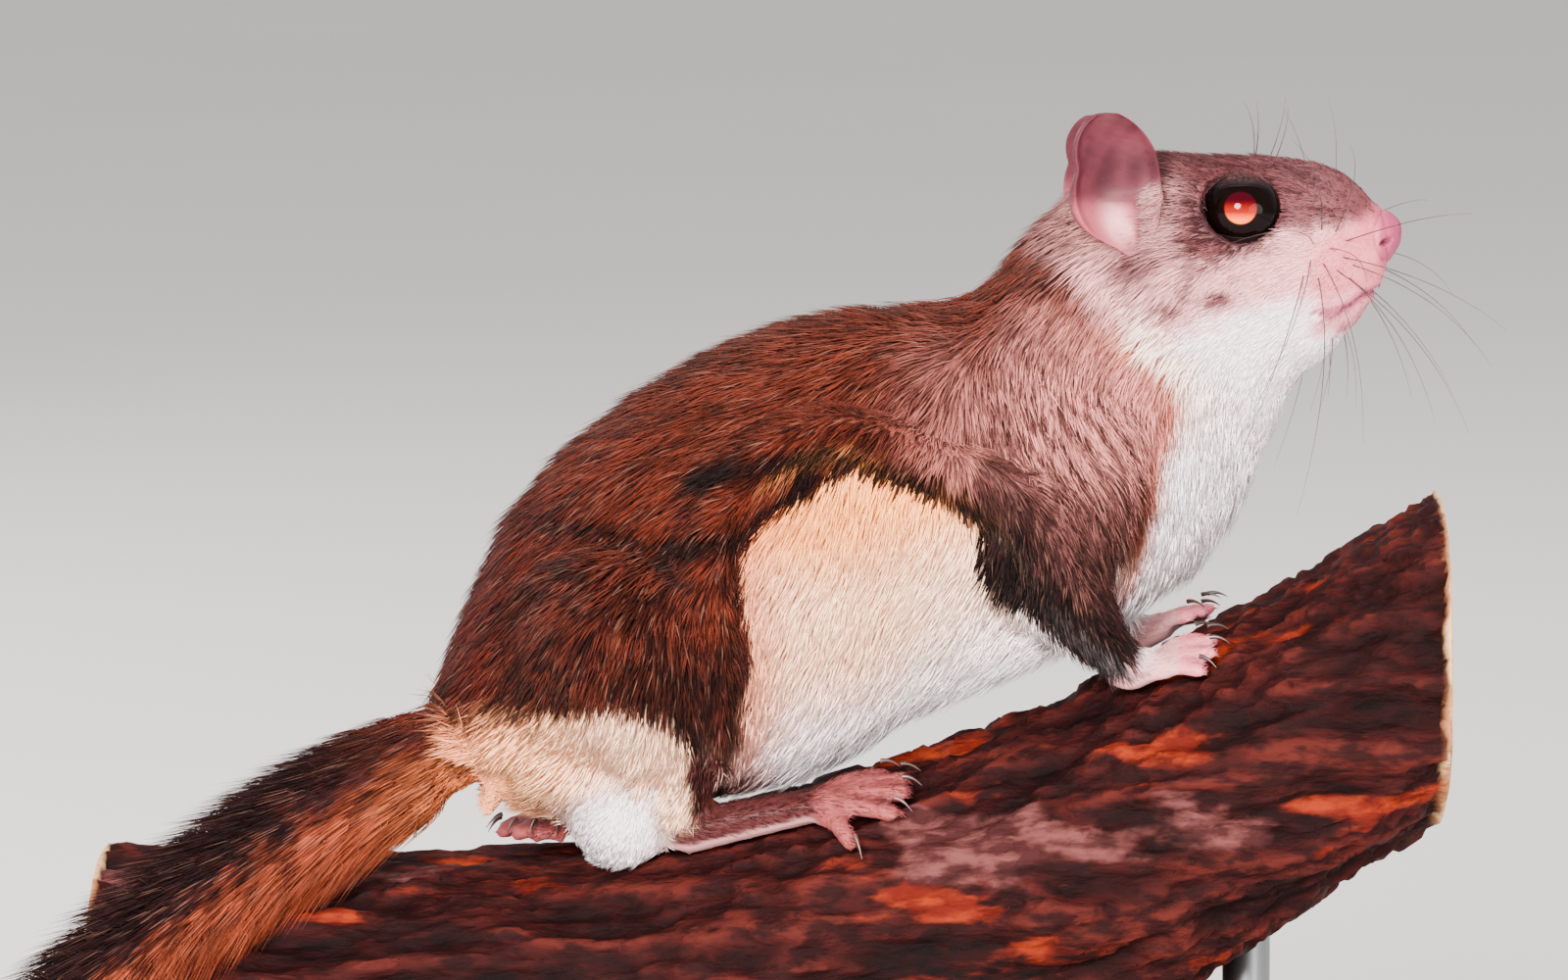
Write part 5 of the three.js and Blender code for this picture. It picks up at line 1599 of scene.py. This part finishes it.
@dataclass
class SweptLines:
    """Tapered round strands along lines, made by one node tree."""

    name: str
    radius: float
    sides: int

    def tree(self, material: bpy.types.Material) -> bpy.types.NodeTree:
        """Builds the tree: lines to curves, a taper, a round section, then a plain mesh."""
        tree = bpy.data.node_groups.new(self.name, "GeometryNodeTree")
        face = tree.interface
        face.new_socket("Geometry", in_out="INPUT", socket_type="NodeSocketGeometry")
        face.new_socket("Root radius", in_out="INPUT", socket_type="NodeSocketFloat")
        face.new_socket("Tip share", in_out="INPUT", socket_type="NodeSocketFloat")
        face.new_socket("Geometry", in_out="OUTPUT", socket_type="NodeSocketGeometry")
        add = tree.nodes.new
        start, end = add("NodeGroupInput"), add("NodeGroupOutput")
        curve, radius = add("GeometryNodeMeshToCurve"), add("GeometryNodeSetCurveRadius")
        along, taper = add("GeometryNodeSplineParameter"), add("ShaderNodeMapRange")
        circle, sweep = add("GeometryNodeCurvePrimitiveCircle"), add("GeometryNodeCurveToMesh")
        real, dress = add("GeometryNodeRealizeInstances"), add("GeometryNodeSetMaterial")
        shade = add("GeometryNodeSetShadeSmooth")
        circle.inputs["Resolution"].default_value = self.sides
        circle.inputs["Radius"].default_value = 1.0
        sweep.inputs["Fill Caps"].default_value = True
        dress.inputs["Material"].default_value = material
        taper.inputs["To Min"].default_value = 1.0
        link = tree.links.new
        link(start.outputs["Geometry"], curve.inputs[0])
        link(curve.outputs[0], radius.inputs[0])
        link(along.outputs["Factor"], taper.inputs["Value"])
        link(start.outputs["Tip share"], taper.inputs["To Max"])
        scale = add("ShaderNodeMath")
        scale.operation = "MULTIPLY"
        link(taper.outputs["Result"], scale.inputs[0])
        link(start.outputs["Root radius"], scale.inputs[1])
        link(scale.outputs[0], radius.inputs["Radius"])
        link(radius.outputs[0], sweep.inputs["Curve"])
        link(circle.outputs[0], sweep.inputs["Profile Curve"])
        if "Scale" in sweep.inputs:
            link(scale.outputs[0], sweep.inputs["Scale"])
        link(sweep.outputs[0], shade.inputs[0])
        link(shade.outputs[0], real.inputs[0])
        link(real.outputs[0], dress.inputs["Geometry"])
        link(dress.outputs[0], end.inputs[0])
        return tree

    def build(self, lines: list[Array], material: bpy.types.Material,
              tip_share: float) -> bpy.types.Object:
        """Sweeps the lines into one piece.

        Args:
            lines: the points of each strand, in metres.
            material: the strands' finish.
            tip_share: the tip's thickness as a share of the root's.
        """
        points = np.concatenate(lines)
        edges, start = [], 0
        for line in lines:
            edges += [(start + i, start + i + 1) for i in range(len(line) - 1)]
            start += len(line)
        mesh = bpy.data.meshes.new(self.name)
        mesh.from_pydata(points.tolist(), edges, [])
        piece = bpy.data.objects.new(self.name, mesh)
        bpy.context.scene.collection.objects.link(piece)
        step = piece.modifiers.new("sweep", "NODES")
        step.node_group = self.tree(material)
        sizes = {"Root radius": self.radius, "Tip share": tip_share}
        for socket in step.node_group.interface.items_tree:
            if socket.name in sizes:
                step[socket.identifier] = sizes[socket.name]
        piece.data = baked_mesh(piece)
        piece.data.name = self.name
        return piece


@dataclass
class Whiskers:
    """Long whiskers on both sides of the muzzle, with a few over the eyes and under the chin."""

    root_radius: float = 0.085 * MM
    fan: tuple = (
        ((69.8, 69.6), (0.75, 0.75, 0.30), 27), ((69.4, 67.6), (0.80, 0.62, -0.10), 30),
        ((68.6, 66.0), (0.70, 0.62, -0.42), 31), ((67.6, 68.8), (0.35, 0.90, 0.10), 33),
        ((66.8, 67.0), (0.20, 0.85, -0.40), 34), ((66.2, 65.2), (0.10, 0.72, -0.72), 30),
        ((65.6, 69.4), (-0.10, 0.90, 0.30), 30), ((65.2, 67.4), (-0.15, 0.85, -0.50), 31),
        ((68.4, 70.8), (0.30, 0.62, 0.72), 24), ((66.6, 71.0), (0.00, 0.66, 0.75), 22),
        ((70.6, 66.6), (0.92, 0.42, -0.32), 26), ((70.2, 65.0), (0.72, 0.50, -0.62), 22),
        ((64.4, 66.0), (-0.20, 0.60, -0.80), 26),
    )
    brow: tuple = (((60.5, 78.4), (0.35, 0.45, 0.90), 12), ((58.6, 79.2), (0.1, 0.5, 0.9), 10))
    chin: tuple = (((69.8, 58.6), (0.35, 0.25, -0.9), 9), ((68.2, 57.4), (0.1, 0.3, -0.9), 8))
    sag: tuple = (-0.20, 0.0, -0.17)
    seed: int = 12

    def build(self, skin: Skin) -> bpy.types.Object:
        """Roots each whisker on the skin and bends it back and down."""
        mesh = skin.object.data
        tree = BVHTree.FromPolygons([v.co for v in mesh.vertices], [f.vertices for f in mesh.polygons])
        rng = np.random.default_rng(self.seed)
        lines = []
        for side in SIDES.values():
            for (x, z), way, length in (*self.fan, *self.brow, *self.chin):
                start = place(x, side * 14.0, z)
                hit = tree.ray_cast(Vector(start), Vector((0, -side, 0)))[0]
                if hit is None:
                    continue
                root = np.array(hit[:])
                direction = unit(np.array([way[0], way[1] * side, way[2]]) + rng.normal(0, 0.05, 3))
                t = np.linspace(0, 1, 14)[:, None]
                sag = np.array(self.sag) * (t**2) * length * rng.uniform(0.7, 1.3)
                lines.append(root + (direction * length * t + sag) * MM)
        horn = HornFinish(dark=(34, 18, 18), light=(70, 44, 42)).material("whisker")
        piece = SweptLines("whiskers", self.root_radius, 5).build(lines, horn, tip_share=0.18)
        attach(piece, BODY)
        return piece


@dataclass
class Claws:
    """Curved claws at the ends of the digits."""

    counts: dict = field(default_factory=lambda: {"foot": 5, "hand": 4})
    radius: float = 0.32 * MM

    def names(self) -> list[str]:
        """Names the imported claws."""
        return [f"claw_{limb}_{side}_{index}" for limb, count in self.counts.items() for side in SIDES
                for index in range(1, count + 1)]

    def line(self, name: str) -> Array:
        """Finds a claw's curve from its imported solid, from inside the toe to the point."""
        shape = merged_node(name)
        middle = shape.points.mean(axis=0)
        axis = np.linalg.svd(shape.points - middle)[2][0]
        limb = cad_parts["_".join(name.split("_")[1:3])]
        toe = np.mean([v.co[:] for v in limb.data.vertices], axis=0)
        if np.dot(axis, middle - toe) < 0:
            axis = -axis
        reach = (shape.points - middle) @ axis
        base, tip = middle + axis * reach.min(), middle - axis * reach.max() * 0.4
        base = base - axis * 1.9 * MM + np.array([0, 0, 0.1 * MM])
        crown = (base + tip) / 2 + np.array([0, 0, 0.7 * MM])
        t = np.linspace(0, 1, 9)[:, None]
        return (1 - t) ** 2 * base + 2 * t * (1 - t) * crown + t**2 * tip

    def build(self) -> bpy.types.Object:
        """Sweeps every claw into one piece."""
        lines = [self.line(name) for name in self.names()]
        horn = HornFinish().material("claw")
        piece = SweptLines("claws", self.radius, 8).build(lines, horn, tip_share=0.12)
        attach(piece, BODY)
        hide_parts(*self.names())
        return piece


@dataclass
class Eyes:
    """Both eyeballs."""

    size: EyeSize

    def build(self) -> None:
        """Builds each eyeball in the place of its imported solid."""
        for name, side in SIDES.items():
            piece = mesh_object(f"eyeball_{name}", self.size.ball(side))
            piece.data.materials.append(EyeFinish().material(f"eye_{name}", self.size.front(side)))
            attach(piece, BODY)
            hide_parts(f"eye_{name}")


@dataclass
class Bough:
    """The cut bough with its rough bark and sawn ends."""

    voxel: float = 0.0009
    start: float = -86.0
    end: float = 82.0
    relief: float = 2.6
    seed: int = 5
    ring_waves: float = 50.0

    def build(self) -> bpy.types.Object:
        """Builds the bark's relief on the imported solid, always inwards from it."""
        piece = remeshed("bark_bough", merged_node("bough"), self.voxel)
        mesh = piece.data
        points, pairs = corner_points(mesh), edge_pairs(mesh)
        points = averaged(points, pairs, 6, 0.5)
        x = points[:, 0] / MM
        low_end = smoothstep(self.start + 0.9, self.start + 0.2, x)
        high_end = smoothstep(self.end - 0.9, self.end - 0.2, x)
        sawn = np.maximum(low_end, high_end)
        height = self.bark_height(points)
        push = -(1 - height) * self.relief * (1 - sawn)
        set_points(mesh, points + corner_normals(mesh) * (push * MM)[:, None])
        put_colours(mesh, np.stack([height, sawn, self.rings(points)], 1))
        mesh.materials.append(BarkFinish().material())
        mesh.shade_smooth()
        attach(piece, BODY)
        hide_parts("bough")
        return piece

    def bark_height(self, points: Array) -> Array:
        """Gives the bark's relief from 0 in a fissure to 1 on a plate."""
        rows = points / MM
        out = np.empty(len(rows))
        noise.seed_set(self.seed)  # without it the vector noise differs in every run
        for index, (x, y, z) in enumerate(rows):
            warp = noise.noise_vector(Vector((x * 0.05, y * 0.07, z * 0.07)))
            spot = Vector((x * 0.02 + warp.x * 0.3, y * 0.12 + warp.y * 0.45, z * 0.12 + warp.z * 0.45))
            ridge = noise.ridged_multi_fractal(spot, 0.9, 2.1, 5, 1.0, 2.0)
            rough = noise.fractal(Vector((x * 0.09, y * 0.34, z * 0.34)), 0.8, 2.1, 5)
            out[index] = ridge + 0.6 * rough
        low, high = np.percentile(out, (4, 96))
        return np.clip((out - low) / (high - low), 0.0, 1.0)

    def rings(self, points: Array) -> Array:
        """Gives the growth rings seen on the sawn ends."""
        rows = points / MM
        x = rows[:, 0]
        ridge = 0.276 * x + 0.0023 * x * x
        half = np.interp(x, (self.start, self.end), (27.0, 21.0))
        wide = np.interp(x, (self.start, self.end), (35.0, 28.0))
        away = np.hypot(rows[:, 1] / wide, (rows[:, 2] - BARK_LEVEL - ridge + half) / half)
        return 0.5 + 0.5 * np.sin(away * self.ring_waves + 0.6 * ripple(rows, 12.0, 41))


@dataclass
class Stand:
    """The plain base and its two rods."""

    rod_radius: float = 3.0 * MM
    rods: tuple = ("rear", "front")

    def build(self) -> None:
        """Softens the base's edges and turns the rods smooth."""
        base = mesh_object("stand_plate", merged_node("stand_base"), smooth=False)
        edge = base.modifiers.new("edge", "BEVEL")
        edge.width = 0.9 * MM
        edge.segments = 3
        edge.limit_method = "ANGLE"
        edge.angle_limit = math.radians(50)
        base.data = baked_mesh(base)
        base.data.materials.append(StandFinish(False).material())
        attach(base, BODY)
        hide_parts("stand_base")
        steel = StandFinish(True).material()
        for name in self.rods:
            low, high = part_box(f"stand_rod_{name}")
            middle = np.array([(low[0] + high[0]) / 2, (low[1] + high[1]) / 2, 0.0])
            piece = mesh_object(f"rod_{name}", self.rod(middle, low[2], high[2]))
            piece.data.materials.append(steel)
            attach(piece, BODY)
            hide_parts(f"stand_rod_{name}")

    def rod(self, middle: Array, low: float, high: float) -> Shape:
        """Builds a round rod with softened ends and a thin collar over the base."""
        top = frame_top("stand_base")
        r, soft, collar = self.rod_radius, 0.4 * MM, 5.2 * MM
        profile = [(low, r - soft), (low + soft, r), (top + 0.1 * MM, r), (top + 0.15 * MM, collar - soft),
                   (top + soft, collar), (top + 1.5 * MM, collar), (top + 1.9 * MM, collar - soft),
                   (top + 2.1 * MM, r + soft), (top + 2.5 * MM, r), (high - soft, r), (high, r - soft)]
        points = np.array([[middle[0], middle[1], z] for z, _ in profile])
        across = np.tile([1.0, 0.0, 0.0], (len(points), 1))
        up = np.tile([0.0, 1.0, 0.0], (len(points), 1))
        return tube(points, across, up, np.array([radius for _, radius in profile]), 40)


def frame_top(node: str) -> float:
    """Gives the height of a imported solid's top."""
    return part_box(node)[1][2]


# The photographer's setting


@dataclass
class Studio:
    """The camera at the photograph's angle, a pale floor and soft lights."""

    pixels_per_mm: float = 8.2
    image_width: int = 1600
    distance: float = 1.25
    elevation: float = 6.0
    target: tuple = (0.0, -5.0, 38.5)
    sensor: float = 36.0

    def camera(self) -> None:
        """Frames the animal as the photograph does."""
        seen = self.image_width / self.pixels_per_mm * MM
        lens = bpy.data.cameras.new("camera")
        lens.sensor_width = self.sensor
        lens.lens = self.sensor * self.distance / seen
        lens.clip_end = 100.0
        eye = bpy.data.objects.new("camera", lens)
        target = Vector((self.target[0] * MM, self.target[1] * MM, (self.target[2] + BARK_LEVEL) * MM))
        tilt = math.radians(self.elevation)
        eye.location = target + Vector((0, -math.cos(tilt), math.sin(tilt))) * self.distance
        eye.rotation_euler = (math.pi / 2 - tilt, 0.0, 0.0)
        bpy.context.scene.collection.objects.link(eye)
        bpy.context.scene.camera = eye

    def light(self, name: str, spot: tuple, aim: tuple, size: float, power: float, tint: tuple) -> None:
        """Adds one soft lamp that faces its aim."""
        lamp = bpy.data.lights.new(name, "AREA")
        lamp.shape = "DISK"
        lamp.size = size
        lamp.energy = power
        lamp.color = tint
        piece = bpy.data.objects.new(name, lamp)
        piece.location = spot
        piece.rotation_euler = (Vector(aim) - Vector(spot)).to_track_quat("-Z", "Y").to_euler()
        bpy.context.scene.collection.objects.link(piece)

    def build(self) -> None:
        """Sets the floor, the lights and the pale surroundings."""
        aim = (0.0, 0.0, 0.12)
        self.light("key", (-0.22, -1.2, 0.5), aim, 0.4, 90.0, (1.0, 0.96, 0.94))
        self.light("fill", (0.8, -1.0, 0.2), aim, 0.9, 22.0, (1.0, 0.96, 0.95))
        self.light("top", (0.1, 0.35, 1.2), aim, 0.8, 13.0, (1.0, 0.98, 0.97))
        self.light("back", (-0.8, 0.9, 0.5), aim, 0.6, 10.0, (1.0, 0.95, 0.94))
        signs = np.array([[-1, -1, 0], [1, -1, 0], [1, 1, 0], [-1, 1, 0.0]])
        floor = mesh_object("floor", Shape(signs * FLOOR_REACH, [[0, 1, 2, 3]]), smooth=False)
        nodes = Nodes("pale_floor")
        paint = nodes.mix(nodes.grain(3.0, 2.0), (214, 211, 208), (222, 219, 216))
        nodes.link(paint, nodes.shader.inputs["Base Color"])
        nodes.set(Roughness=0.75)
        floor.data.materials.append(nodes.material)
        world = bpy.data.worlds.new("studio")
        world.use_nodes = True
        world.node_tree.nodes["Background"].inputs["Color"].default_value = (0.80, 0.79, 0.78, 1.0)
        world.node_tree.nodes["Background"].inputs["Strength"].default_value = 1.1
        bpy.context.scene.world = world


def main() -> None:
    """Builds the whole model in order and logs the sizes of its main pieces."""
    logging.basicConfig(level=logging.INFO, format="%(message)s")
    studio = Studio()
    studio.camera()
    skin = Skin()
    skin.build()
    skin.dress()
    LOG.info("skin: %d faces", len(skin.object.data.polygons))
    Eyes(skin.eyes).build()
    Tufts(skin).grow()
    whiskers = Whiskers().build(skin)
    claws = Claws().build()
    LOG.info("whiskers %d and claws %d faces", len(whiskers.data.polygons), len(claws.data.polygons))
    bough = Bough().build()
    LOG.info("bough: %d faces", len(bough.data.polygons))
    Stand().build()
    studio.build()


if __name__ == "__main__":
    main()
